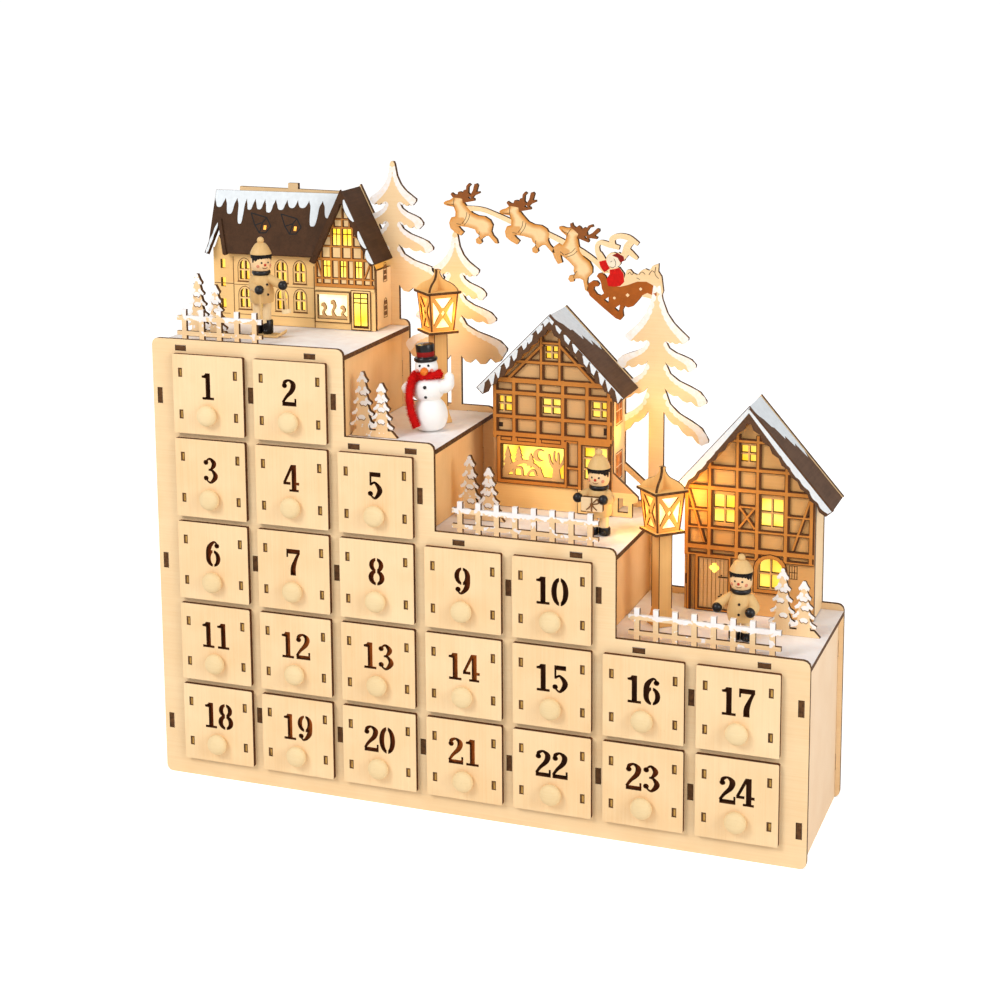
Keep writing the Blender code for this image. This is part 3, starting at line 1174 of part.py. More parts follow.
def build_tree_pairs():
    for number, (step, across, setback) in enumerate(TREE_PAIRS, 1):
        x, deck = STEP_STARTS[step] + across, deck_top(step)
        foot = in_mm(((-7.8, 0.3), (22.4, 0.3), (18.6, 4.4), (-5.0, 4.4)))
        outlines = [young_fir(40.0, 8.4), moved(young_fir(33.6, 7.6), PAIR_SPACING, 0), foot]
        name = f"small_trees_{number}" if number < 4 else "fourth pair"
        low = 0 if number < 4 else -OVERLAP
        pair = sheet(name, outlines, [], PLY, BIRCH,
                     (x, FACE_Y + setback + PLY / 2, deck + low), FACING)
        if number == 4:
            joined(bpy.data.objects["deck_4"], [pair])


def main():
    clear_scene()
    build_front_panel()
    build_back_panel()
    build_uprights()
    build_levels()
    build_drawers()
    build_battery_box()
    build_house_1()
    build_house_2()
    build_house_3()
    build_roofs()
    build_lamps()
    build_snowman()
    build_figures()
    build_fences()
    build_tree_pairs()


main()
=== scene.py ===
# %% [markdown]
# # A wooden advent calendar
#
# The chest, its twenty-four drawers and the village on top are all laser-cut from thin birch
# plywood. The solids come packed as a frame, which stays as it is: here each visible surface gets
# its finish, and the pieces with finer shapes than the solids are made again in detail.

# %% The frame
import math

import bpy
import numpy as np
from mathutils import Matrix, Vector
from mathutils.geometry import delaunay_2d_cdt


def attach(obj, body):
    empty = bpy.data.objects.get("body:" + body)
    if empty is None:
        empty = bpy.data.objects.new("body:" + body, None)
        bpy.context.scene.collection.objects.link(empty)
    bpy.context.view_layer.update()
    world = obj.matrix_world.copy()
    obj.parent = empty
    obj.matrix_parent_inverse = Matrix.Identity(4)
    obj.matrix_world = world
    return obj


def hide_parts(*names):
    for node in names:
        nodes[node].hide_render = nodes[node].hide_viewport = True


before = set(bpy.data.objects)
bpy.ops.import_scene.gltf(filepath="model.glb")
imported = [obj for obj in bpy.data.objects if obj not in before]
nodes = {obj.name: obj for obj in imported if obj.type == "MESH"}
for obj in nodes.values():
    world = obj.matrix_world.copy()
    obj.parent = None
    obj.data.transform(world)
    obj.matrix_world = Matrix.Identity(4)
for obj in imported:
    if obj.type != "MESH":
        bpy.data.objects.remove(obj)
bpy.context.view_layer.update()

# %% [markdown]
# ## Sizes
#
# The chest is a grid: drawer fronts 48 mm wide stand 55 mm apart across and 53 mm apart upwards.
# The few sizes that the whole village is placed by are named once, in metres, as in the solids.

# %% Sizes
MM = 0.001
PLY = 3.0 * MM
THIN_PLY = 1.5 * MM
SEAT = 0.3 * MM
HAIR = 0.05 * MM
PITCH_X, PITCH_Z = 55.0 * MM, 53.0 * MM
FRONT_W, FRONT_H = 48.0 * MM, 49.5 * MM
BODY_W = 409.4 * MM
LEFT_FRONT = -BODY_W / 2 + 15.7 * MM
FACE_Y = -48.95 * MM
BACK_FACE = FACE_Y + PLY + 101.8 * MM
FACADE_Y = FACE_Y + 78.3 * MM
FIRST_ROW = (0, 0, 1, 2, 2, 3, 3)


def column_left(column):
    return LEFT_FRONT + column * PITCH_X


def row_top(row):
    return 61.7 * MM + (4 - row) * PITCH_Z


def deck_top(row):
    return row_top(row) + 4.7 * MM


STEP_EDGES = [column_left(c) + FRONT_W + m * MM for c, m in ((1, 10.1), (2, 12.5), (4, 13.5))]
STEP_EDGES.append(BODY_W / 2)
STEP_STARTS = [-BODY_W / 2] + STEP_EDGES[:-1]
MIDDLES = [(start + edge) / 2 for start, edge in zip(STEP_STARTS, STEP_EDGES)]
DECKS = [deck_top(row) for row in range(4)]
print("decks at", [round(deck, 4) for deck in DECKS])

# %% [markdown]
# ## The camera
#
# The photograph's view was worked out from the grid of drawers. The lens looks past the object's
# middle, which the camera's shift gives without turning the verticals.

# %% Camera
def into_scene(name, data):
    """An object made of this data, put into the scene."""
    thing = bpy.data.objects.new(name, data)
    bpy.context.scene.collection.objects.link(thing)
    return thing


data = bpy.data.cameras.new("camera")
data.lens = 71.42
data.shift_x, data.shift_y = 0.0894, -0.1961
data.clip_end = 100.0
camera = into_scene("camera", data)
right = Vector((0.92648, 0.37609, -0.01396))
down = Vector((0.05161, -0.16371, -0.98516))
forward = right.cross(down)
turn = Matrix((right, -down, -forward)).transposed()
camera.matrix_world = Matrix.Translation((0.39888, -1.05343 + FACE_Y, 0.50992)) @ turn.to_4x4()
bpy.context.scene.camera = camera
print("camera at", tuple(round(v, 3) for v in camera.location))

# %% [markdown]
# ## Writing materials as sums
#
# A pattern is arithmetic on numbers that travel between nodes. `Wire` wraps one such number, so
# that `1 - mask` or `a * b + c` adds the Math nodes. `Finish` is a material, and its `node` makes
# every other node from its type, its settings and its sockets.

# %% Shader helpers
class Wire:
    """A number on its way between nodes."""

    def __init__(self, finish, socket):
        self.finish, self.socket = finish, socket

    def math(self, operation, *values):
        sockets = dict(enumerate(values))
        return self.finish.node("Math", {"operation": operation}, sockets)

    def __add__(self, other):
        return self.math("ADD", self, other)

    def __sub__(self, other):
        return self.math("SUBTRACT", self, other)

    def __rsub__(self, other):
        return self.math("SUBTRACT", other, self)

    def __mul__(self, other):
        return self.math("MULTIPLY", self, other)

    def __truediv__(self, other):
        return self.math("DIVIDE", self, other)

    __radd__, __rmul__ = __add__, __mul__

    def size(self):
        return self.math("ABSOLUTE", self)

    def clear(self):
        """The number held between 0 and 1."""
        return self.math("MINIMUM", self.math("MAXIMUM", self, 0.0), 1.0)

    def above(self, edge, soft):
        """0 below the edge and 1 above it, with a soft change between."""
        return ((self - (edge - soft / 2)) / soft).clear()


class Nodes:
    """The nodes of a material or of the world."""

    def __init__(self, owner):
        owner.use_nodes = True
        self.tree = owner.node_tree

    def put(self, socket, value):
        if isinstance(value, Wire):
            self.tree.links.new(value.socket, socket)
        elif isinstance(value, tuple) and len(value) == 3 and socket.type == "RGBA":
            socket.default_value = (*value, 1)
        else:
            socket.default_value = value

    def node(self, kind, settings=None, sockets=None, out=0):
        made = self.tree.nodes.new("ShaderNode" + kind)
        for key, value in (settings or {}).items():
            setattr(made, key, value)
        for key, value in (sockets or {}).items():
            self.put(made.inputs[key], value)
        return Wire(self, made.outputs[out])

    def seen(self):
        """1 for a ray from the camera, straight or by gloss or glass, and 0 for the rest."""
        rays = [self.node("LightPath", out=f"Is {kind} Ray")
                for kind in ("Camera", "Glossy", "Transmission")]
        return rays[0].math("MAXIMUM", rays[0], rays[1].math("MAXIMUM", *rays[1:]))


class Finish(Nodes):
    """A Principled material whose patterns read Object coordinates."""

    def __init__(self, name):
        self.material = bpy.data.materials.new(name)
        super().__init__(self.material)
        self.shader = self.tree.nodes["Principled BSDF"]
        self.shader.inputs["Specular IOR Level"].default_value = 0.15

    def place(self, source="Object"):
        """X, Y and Z of the point, each a number."""
        spot = self.node("TexCoord", out=source)
        return [self.node("SeparateXYZ", sockets={0: spot}, out=i) for i in range(3)]

    def cut(self, across):
        """1 on a sheet's cut edges: where the surface doesn't face along the thickness."""
        return 1 - self.place("Normal")[across].size().above(0.5, 0.2)

    def noise(self, sizes, detail=3.0, rough=0.5, seed=0.0):
        """Smooth noise from 0 to 1 whose blobs have this size in metres, or one for each axis."""
        spot = self.node("TexCoord", out="Object")
        scale = tuple(1 / size for size in np.broadcast_to(sizes, 3).tolist())
        scaled = self.node("Mapping", sockets={0: spot, 1: (seed, seed / 2, -seed), 3: scale})
        return self.node("TexNoise", sockets={"Vector": scaled, "Scale": 1.0, "Detail": detail,
                                              "Roughness": rough})

    def mix(self, factor, first, second):
        """A colour between two, by the factor."""
        return self.node("Mix", {"data_type": "RGBA"}, {0: factor, 6: first, 7: second}, out=2)

    def finish(self, grain=None, depth=0.05 * MM, strength=0.25, **sockets):
        """The material, with these values or links. A grain gives its surface relief."""
        if grain is not None:
            sockets["normal"] = self.node("Bump", sockets={"Strength": strength,
                                                           "Distance": depth, "Height": grain})
        for key, value in sockets.items():
            self.put(self.shader.inputs[key.replace("_", " ").title()], value)
        return self.material


print("shader helpers ready")

# %% [markdown]
# ## Light and background
#
# A shop photograph is lit by large soft boxes: one high on the left, a fill from the right, and a
# white room all round. Each is an area lamp. The room is white to the camera and plain to the rest.

# %% Light
def lamp(name, kind, place, power, **settings):
    """A lamp of one kind at a place, with its power in watts."""
    light = bpy.data.lights.new(name, kind)
    light.energy = power
    for key, value in settings.items():
        setattr(light, key, value)
    thing = into_scene(name, light)
    thing.location = place
    return thing


LIT_SPOT = Vector((0, 0, 0.15))
for name, place, size, power in (("key lamp", (-0.9, -1.5, 1.5), 1.0, 23),
                                 ("fill lamp", (1.9, -0.9, 1.0), 1.2, 19.5)):
    soft_box = lamp(name, "AREA", place, power, shape="DISK", size=size)
    aim = LIT_SPOT - Vector(place)
    soft_box.matrix_world = (Matrix.Translation(place)
                             @ aim.to_track_quat("-Z", "Y").to_matrix().to_4x4())

world = bpy.data.worlds.new("white room")
bpy.context.scene.world = world
sky = Nodes(world)
room = sky.node("Background", sockets={"Color": (1, 0.98, 0.96), "Strength": 0.5})
white = sky.node("Background", sockets={"Color": (1, 1, 1)})
both = sky.node("MixShader", sockets={0: sky.seen(), 1: room, 2: white})
sky.put(sky.tree.nodes["World Output"].inputs["Surface"], both)
bpy.context.scene.view_settings.view_transform = "Standard"

# %% [markdown]
# ## Birch plywood
#
# Birch has a pale face with long, faint streaks, soft clouds and short brown pores. A laser leaves
# each cut edge charred, with the glue lines a little darker than the veneers between. The face and
# the edge are told apart by the way that the surface faces, so the same finish works on any sheet.

# %% Plywood
BIRCH_PALE, BIRCH_DEEP = (0.93, 0.70, 0.42), (0.82, 0.53, 0.26)
CHAR = (0.055, 0.024, 0.010)
SCORCH = (0.18, 0.078, 0.026)


def streaks(finish, along, fine=0.9 * MM, long=60 * MM, seed=0.0):
    """Wood grain: noise that is long in one direction (0, 1 or 2) and fine in the others."""
    sizes = [fine] * 3
    sizes[along] = long
    return finish.noise(sizes, 4.0, 0.6, seed)


def birch(finish, along, pale=BIRCH_PALE, deep=BIRCH_DEEP, seed=0.0):
    """Colour of a birch face: streaks and clouds between two tones, with short brown pores."""
    grain = streaks(finish, along, seed=seed)
    cloud = finish.noise(22 * MM, 2.0, 0.5, seed + 3)
    tone = finish.node("Attribute", {"attribute_name": "tone"}, out="Fac")
    share = (grain.above(0.52, 0.5) * 0.34 + cloud.above(0.5, 0.5) * 0.44 + tone).clear()
    pores = streaks(finish, along, 0.22 * MM, 3.0 * MM, seed + 7).above(0.68, 0.06)
    face = finish.mix(share, pale, deep)
    return finish.mix(pores * 0.35, face, tuple(c * 0.55 for c in deep)), grain


def charred(finish, across, seed=0.0):
    """Colour of a laser-cut edge: char, browner in patches, darker in the glue lines."""
    position = finish.place()[across]
    layers = position.math("SINE", position * (2 * math.pi / MM))
    patchy = finish.noise(2.5 * MM, 3.0, 0.6, seed).above(0.5, 0.35)
    return finish.mix((patchy * 0.75 + layers * 0.14).clear(), CHAR, SCORCH)


def plywood(name, across, along, pale=BIRCH_PALE, deep=BIRCH_DEEP, seed=0.0):
    """A sheet that is thick along one axis, with its grain along another."""
    finish = Finish(name)
    face, grain = birch(finish, along, pale, deep, seed)
    cut = finish.cut(across)
    colour = finish.mix(cut, face, charred(finish, across, seed))
    return finish.finish(grain, base_color=colour, roughness=0.58 + cut * 0.25)


facing_x = plywood("birch panel", 1, 0)
facing_z = plywood("birch front", 1, 2, seed=11)
upright = plywood("birch side", 0, 2, (0.92, 0.70, 0.48), (0.83, 0.57, 0.34), 23)
# The dividers between the steps are darker and more orange than the other birch: painted warm lamp
# light and shade.
riser_in_painted_warm_shade = plywood("birch side in painted warm light and shade", 0, 2, (0.92, 0.59, 0.28), (0.78, 0.45, 0.175), 27)
level = plywood("birch board", 2, 0, seed=31)
print("plywood finishes", [m.name for m in (facing_x, facing_z, upright, riser_in_painted_warm_shade, level)])

# %% [markdown]
# ## Painted and printed wood
#
# The decks are rolled with white paint that dries slightly pink and uneven. The fences and firs are
# only dabbed with it, the timbers of the houses are printed orange-brown over a tan wall, and the
# roofs are printed a brown that is nearly black. All keep their charred edges.

# %% Painted wood
SNOW, SNOW_SHADE = (0.96, 0.935, 0.92), (0.90, 0.83, 0.80)


def snowy(finish, seed=0.0):
    """Colour of snow paint: white with faint pinkish patches."""
    return finish.mix(finish.noise(9 * MM, 3.0, 0.6, seed).above(0.52, 0.4), SNOW, SNOW_SHADE)


def snow_deck(name, top):
    """A painted deck. Trees that stand on it are bare birch, so above the deck the finish turns."""
    finish = Finish(name)
    over = finish.place()[2].above(top + 0.1 * MM, 0.05 * MM)
    wood, _ = birch(finish, 2)
    cut = finish.cut(2) * (1 - over) + finish.cut(1) * over
    face = finish.mix(over, snowy(finish), wood)
    return finish.finish(streaks(finish, 0, 1.4 * MM, 40 * MM, 4.0), 0.06 * MM, 0.3,
                         base_color=finish.mix(cut, face, charred(finish, 2)), roughness=0.75)


def snowy_fence(name, base):
    """Snow paint lies on the picket tops and most of the upper rail, and in splashes below: the
    height above the deck, made uneven by noise, is compared with the upper rail's."""
    finish = Finish(name)
    face, grain = birch(finish, 0, seed=base * 40)
    height = finish.place()[2] - base
    ragged = finish.noise(6 * MM, 2.0, 0.5, base * 90) - 0.5
    splash = finish.noise(5 * MM, 2.0, 0.5, base * 70 + 9).above(0.61, 0.03)
    white = (height + ragged * (14 * MM)).above(14.2 * MM, 0.5 * MM)
    cut = finish.cut(1)
    top = cut * white * (1 - finish.cut(2)) * 0.85
    painted = finish.mix((white + splash).clear(), face, snowy(finish, 2.0))
    edges = finish.mix(top, charred(finish, 1), SNOW)
    return finish.finish(grain, base_color=finish.mix(cut, painted, edges), roughness=0.65)


def dabbed(name, across, along, size, share, seed):
    """Plywood with dabs of snow paint on its faces: noise above a level is painted."""
    finish = Finish(name)
    face, grain = birch(finish, along, seed=seed)
    dabs = finish.noise(size, 2.0, 0.45, seed).above(share, 0.03)
    painted = finish.mix(dabs, face, snowy(finish, seed))
    colour = finish.mix(finish.cut(across), painted, charred(finish, across, seed))
    return finish.finish(grain, base_color=colour, roughness=0.62)


def timbered(name, wall, wall_deep, timber, timber_deep, seed, bare_below):
    """A house: printed timbers stand proud of a plain wall, and the side walls are behind it.
    Below a height, both the wall and its boards stay bare birch."""
    finish = Finish(name)
    _, y, z = finish.place()
    behind = y.above(FACADE_Y + PLY + 0.1 * MM, 0.1 * MM)
    proud = 1 - y.above(FACADE_Y - 0.3 * MM, 0.1 * MM)
    plain_wall, grain = birch(finish, 0, wall, wall_deep, seed)
    wooden, _ = birch(finish, 2, timber, timber_deep, seed + 5)
    sides, _ = birch(finish, 2, seed=seed + 9)
    bare, _ = birch(finish, 0, (0.95, 0.66, 0.30), (0.85, 0.51, 0.19), seed + 2)
    printed = finish.mix(proud, plain_wall, wooden)
    front = finish.mix(z.above(bare_below, 0.2 * MM), bare, printed)
    cut = finish.cut(1) * (1 - behind) + finish.cut(0) * behind
    colour = finish.mix(cut, finish.mix(behind, front, sides), charred(finish, 1, seed))
    return finish.finish(grain, 0.04 * MM, base_color=colour, roughness=0.6)


def roof_paint(name, dark, worn):
    """A dark print that is worn along the grain and in patches."""
    finish = Finish(name)
    grain = streaks(finish, 1, 1.2 * MM, 30 * MM, 6.0)
    patch = finish.noise((6 * MM, 12 * MM, 6 * MM), 3.0, 0.6, 8.0)
    share = (grain.above(0.5, 0.5) * 0.5 + patch.above(0.5, 0.4) * 0.5).clear()
    return finish.finish(grain, 0.05 * MM, 0.35, base_color=finish.mix(share, dark, worn),
                         roughness=0.65)


def plain(name, colour, roughness=0.5, shade=0.82, size=5 * MM, coat=0.0):
    """One colour, a little uneven: paint, lacquer or plastic."""
    finish = Finish(name)
    uneven = finish.noise(size, 3.0, 0.55).above(0.5, 0.6)
    darker = tuple(c * shade for c in colour)
    return finish.finish(finish.noise(0.5 * MM, 2.0, 0.5), 0.03 * MM, roughness=roughness,
                         base_color=finish.mix(uneven, colour, darker), coat_weight=coat)


def turned_finish(name, pale, deep, roughness=0.45, along=2):
    """Turned, lightly lacquered wood: rings of grain round the piece's own height."""
    finish = Finish(name)
    colour, grain = birch(finish, along, pale, deep, 17)
    return finish.finish(grain, 0.04 * MM, 0.2, base_color=colour, roughness=roughness)


def glowing(name, inner, outer, strength, size):
    """A lit film: brighter and paler in patches, so that it isn't one flat yellow."""
    finish = Finish(name)
    patch = finish.noise(size, 1.0, 0.4, 2.0).above(0.5, 0.5)
    colour = finish.mix(patch, outer, inner)
    return finish.finish(base_color=colour, emission_color=colour, emission_strength=strength,
                         roughness=0.7)


deck_finishes = [snow_deck(f"snow deck {step}", deck) for step, deck in enumerate(DECKS, 1)]
fence_finishes = [snowy_fence(f"snowy fence {step + 1}", DECKS[step]) for step in (0, 2, 3)]
young_finish = dabbed("young fir", 1, 2, 3.0 * MM, 0.66, 5.0)
cream_house = timbered("cream house", (0.95, 0.63, 0.27), (0.84, 0.48, 0.17),
                       (0.54, 0.225, 0.055), (0.40, 0.14, 0.03), 1.0, DECKS[0] + 27.2 * MM)
tan_house = timbered("tan house", (0.72, 0.425, 0.19), (0.58, 0.315, 0.12),
                     (0.60, 0.235, 0.046), (0.44, 0.15, 0.026), 2.0, DECKS[2] + 15.4 * MM)
amber_house = timbered("amber house", (0.76, 0.42, 0.155), (0.62, 0.30, 0.09),
                       (0.64, 0.26, 0.052), (0.46, 0.165, 0.03), 3.0, 0.0)
roof_finishes = [roof_paint("umber roof print", (0.036, 0.015, 0.005), (0.085, 0.036, 0.014))]
roof_finishes += [roof_paint("brown roof print", (0.066, 0.030, 0.013), (0.13, 0.064, 0.033))] * 2
white_paint = plain("white paint", (0.96, 0.94, 0.92), 0.6, shade=0.93)
icy_paint = plain("icy paint", (0.78, 0.825, 0.855), 0.55, size=3 * MM, shade=0.86)
brown_print = plain("brown print", (0.20, 0.085, 0.03), 0.6)
dark_print = plain("dark print", (0.045, 0.022, 0.012), 0.6)
lamp_finish = turned_finish("lamp post wood", (0.84, 0.50, 0.19), (0.64, 0.33, 0.10), 0.6)
turned_wood = turned_finish("turned birch", (0.88, 0.69, 0.42), (0.74, 0.51, 0.25))
figure_wood = turned_finish("figure wood", (0.78, 0.52, 0.235), (0.60, 0.36, 0.13), 0.4)
face_wood = turned_finish("face wood", (0.90, 0.62, 0.34), (0.82, 0.52, 0.26), 0.4)
black_lacquer = plain("black lacquer", (0.009, 0.007, 0.007), 0.3, coat=0.25)
hair_black = plain("dark hair", (0.010, 0.008, 0.008), 0.6)
black_plastic = plain("black plastic", (0.015, 0.015, 0.016), 0.45)
window_glow = glowing("window film", (1.0, 0.86, 0.20), (1.0, 0.60, 0.015), 1.0, 14 * MM)
dormer_glow = glowing("dormer film", (1.0, 0.48, 0.09), (0.9, 0.30, 0.03), 0.8, 6 * MM)
print("finishes", len(bpy.data.materials))

# %% [markdown]
# ## Dressing the solids
#
# Most boards keep their solids: only the material slots change.

# %% Dress the solids
def dress(name, material):
    """Gives one solid one material."""
    slots = nodes[name].data.materials
    slots.clear()
    slots.append(material)


for names, material in ((("front_panel", "back_panel"), facing_x),
                        (("left_wall", "right_wall"), upright),
                        ([f"divider_{number}" for number in range(1, 7)], riser_in_painted_warm_shade),
                        (("lower_shelf", "bottom_board"), level),
                        ([f"small_trees_{number}" for number in range(1, 4)], young_finish),
                        (("house_1",), cream_house), (("house_2",), tan_house),
                        (("house_3",), amber_house),
                        (("battery_box", "power_switch"), black_plastic)):
    for name in names:
        dress(name, material)
for form, finishes in (("deck_{}", deck_finishes), ("fence_{}", fence_finishes),
                       ("house_{}_roof", roof_finishes)):
    for number, material in enumerate(finishes, 1):
        dress(form.format(number), material)
print("dressed", len([n for n in nodes if nodes[n].data.materials]))

# %% [markdown]
# ## Making meshes
#
# Every new piece is a list of parts, and a part is an array of points, an array of faces, a
# material and whether it is smooth. A cut sheet is an outline less its holes, split into triangles
# by Blender's own constrained triangulation and given a thickness. A turned piece is a profile
# carried round an axis, and a limb is a circle carried along a path.

# %% Mesh helpers
def onto(points, origin, across, up):
    """Places flat (u, v, w) points: origin + u * across + v * up + w * (across x up)."""
    across, up = np.array(across, float), np.array(up, float)
    frame_axes = np.array([across, up, np.cross(across, up)])
    return np.asarray(points) @ frame_axes + np.array(origin, float)


X_AXIS, Y_AXIS, Z_AXIS = (1, 0, 0), (0, 1, 0), (0, 0, 1)
LEAST_RADIUS = 1e-5


def anticlockwise(loop):
    """The loop, turned round if its signed area is negative."""
    loop = np.asarray(loop, float)
    after = np.roll(loop, -1, axis=0)
    area = np.sum(loop[:, 0] * after[:, 1] - after[:, 0] * loop[:, 1])
    return loop if area > 0 else loop[::-1]


def sheet(outlines, thickness, holes=(), within=(), bridges=(), inner=None):
    """(points, faces) of a cut sheet: outlines less holes, thick along w from 0.

    A cell of the triangulation stays where it is inside an outline, inside one of `within` if
    there are any, and outside every hole or on a bridge across it. `inner` are extra points that
    the faces pass through.
    """
    groups = [outlines, holes, within, bridges]
    loops = [anticlockwise(loop) / MM for group in groups for loop in group]
    kinds = np.repeat(np.arange(4), [len(group) for group in groups])
    ends = np.cumsum([0] + [len(loop) for loop in loops])
    rings = [list(range(a, b)) for a, b in zip(ends, ends[1:])]
    spots = np.concatenate(loops + ([np.asarray(inner) / MM] if inner is not None else []))
    found, _, cells, _, _, owners = delaunay_2d_cdt(
        list(map(Vector, spots.tolist())), [], rings, 1, 1e-4)
    kept = []
    for cell, owner in zip(cells, owners):
        has = {int(kinds[i]) for i in owner}
        if 0 in has and (1 not in has or 3 in has) and (not len(within) or 2 in has):
            kept.append(cell)
    triangles = np.array(kept, int).reshape(-1, 3)
    used, triangles = np.unique(triangles, return_inverse=True)
    triangles = triangles.reshape(-1, 3)
    flat = np.array([found[i] for i in used], float).reshape(-1, 2) * MM
    count = len(flat)
    edges = triangles[:, [0, 1, 1, 2, 2, 0]].reshape(-1, 2)
    rim = edges[~np.isin(edges[:, 0] * count + edges[:, 1], edges[:, 1] * count + edges[:, 0])]
    a, b = rim[:, 0], rim[:, 1]
    walls = np.concatenate([np.stack([a, b, b + count], 1), np.stack([a, b + count, a + count], 1)])
    points = np.concatenate([np.column_stack([flat, np.zeros(count)]),
                             np.column_stack([flat, np.full(count, thickness)])])
    return points, np.concatenate([triangles[:, ::-1], triangles + count, walls])


def grid_faces(rows, columns):
    """Quads of a grid of points whose columns close into a ring."""
    i, j = np.meshgrid(np.arange(rows - 1), np.arange(columns), indexing="ij")
    nxt = (j + 1) % columns
    quads = [i * columns + j, i * columns + nxt, (i + 1) * columns + nxt, (i + 1) * columns + j]
    return np.stack(quads, -1).reshape(-1, 4)


def tube(rings):
    """(points, faces) of rings of points, each joined to the next, with both ends closed."""
    rows, columns = rings.shape[:2]
    around = np.arange(columns)
    fans = [np.stack([np.full(columns - 2, cap[0]), cap[1:-1], cap[2:]], 1)
            for cap in (around[::-1], around + (rows - 1) * columns)]
    faces = [*grid_faces(rows, columns).tolist(), *np.concatenate(fans).tolist()]
    return rings.reshape(-1, 3), faces


def turned(profile, steps=32):
    """(radius, height) pairs carried round Z: x = r cos a, y = r sin a."""
    profile = np.array(profile, float)
    profile[:, 0] = np.maximum(profile[:, 0], LEAST_RADIUS)
    around = circle(0, 0, 1, steps)
    return tube(np.concatenate([profile[:, None, :1] * around[None],
                                np.repeat(profile[:, None, 1:], steps, 1)], -1))


def spline(knots, samples=8):
    """A smooth curve through the knots (Catmull-Rom), with any number of values per knot."""
    knots = np.asarray(knots, float)
    padded = np.concatenate([knots[:1], knots, knots[-1:]])
    t = np.linspace(0, 1, samples, endpoint=False)[:, None, None]
    p0, p1, p2, p3 = padded[:-3], padded[1:-2], padded[2:-1], padded[3:]
    curve = 0.5 * (2 * p1 + (p2 - p0) * t + (2 * p0 - 5 * p1 + 4 * p2 - p3) * t**2
                   + (3 * p1 - p0 - 3 * p2 + p3) * t**3)
    return np.concatenate([curve.transpose(1, 0, 2).reshape(-1, knots.shape[1]), knots[-1:]])


def limb(path, steps=16):
    """A circle carried along a path of (x, y, z, radius)."""
    path = np.asarray(path, float)
    spots, radii = path[:, :3], path[:, 3]
    along = np.gradient(spots, axis=0)
    along /= np.linalg.norm(along, axis=1)[:, None]
    guide = np.array([0.0, 1.0, 0.1]) if abs(along[0][1]) < 0.9 else np.array([1.0, 0.0, 0.1])
    side = np.cross(along, guide)
    side /= np.linalg.norm(side, axis=1)[:, None]
    up = np.cross(along, side)
    around = circle(0, 0, 1, steps)
    ring = around[None, :, :1] * side[:, None] + around[None, :, 1:] * up[:, None]
    return tube(spots[:, None] + radii[:, None, None] * ring)


def ball(radius, steps=24, rings=12):
    """A ball about the origin, as a turned half circle."""
    angle = np.linspace(-math.pi / 2, math.pi / 2, rings + 1)
    return turned(np.stack([radius * np.cos(angle), radius * np.sin(angle)], -1), steps)


def ribbon(knots, samples=6):
    """Outline of a curved strip from knots of (u, v, width)."""
    curve = spline(knots, samples)
    spots, width = curve[:, :2], curve[:, 2:]
    along = np.gradient(spots, axis=0)
    along /= np.linalg.norm(along, axis=1)[:, None]
    side = np.column_stack([-along[:, 1], along[:, 0]]) * width / 2
    return np.concatenate([spots + side, (spots - side)[::-1]])


def box(left, bottom, right, top):
    """A rectangle between two corners."""
    return np.array([(left, bottom), (right, bottom), (right, top), (left, top)], float)


def oval(u, v, half_w, half_h, steps=28):
    """An ellipse: u + half_w * cos a, v + half_h * sin a."""
    angle = np.arange(steps) * 2 * math.pi / steps
    return np.column_stack([u + half_w * np.cos(angle), v + half_h * np.sin(angle)])


def circle(u, v, radius, steps=20):
    return oval(u, v, radius, radius, steps)


def mirrored(side):
    """A whole outline from its right-hand side: (u, v), and back along (-u, v)."""
    return np.concatenate([side, (side * (-1, 1))[::-1]])


def rounded_box(left, bottom, right, top, radius, steps=4):
    """A box with round corners: quarter circles at its four corners, joined."""
    angle = np.linspace(0, math.pi / 2, steps)
    arc = np.column_stack([np.cos(angle), np.sin(angle)]) * radius
    centres = [(right - radius, top - radius), (left + radius, top - radius),
               (left + radius, bottom + radius), (right - radius, bottom + radius)]
    turns = [np.array([[1, 0], [0, 1]]), np.array([[0, 1], [-1, 0]]),
             np.array([[-1, 0], [0, -1]]), np.array([[0, -1], [1, 0]])]
    return np.concatenate([arc @ spin + centre for spin, centre in zip(turns, centres)])


def layer(outlines, thickness, origin, material, across=X_AXIS, up=Z_AXIS, unit=MM, **cuts):
    """A part: a cut sheet laid on the plane of `across` and `up`, growing along across x up. Its
    loops and thickness are drawn in millimetres, or in a unit of their own."""
    loops = [np.asarray(loop, float) * unit for loop in outlines]
    cuts = {key: [np.asarray(loop, float) * unit for loop in cut] for key, cut in cuts.items()}
    points, faces = sheet(loops, thickness * unit, **cuts)
    return onto(points, origin, across, up), faces, material, False


def round_part(mesh, material, at=(0, 0, 0), smooth=True):
    """A part out of a turned or limb mesh, set at a place."""
    points, faces = mesh
    return points + np.array(at, float), faces, material, smooth


def moved(parts, where):
    """The parts with all their points carried by the function `where`."""
    return [(where(points), *rest) for points, *rest in parts]


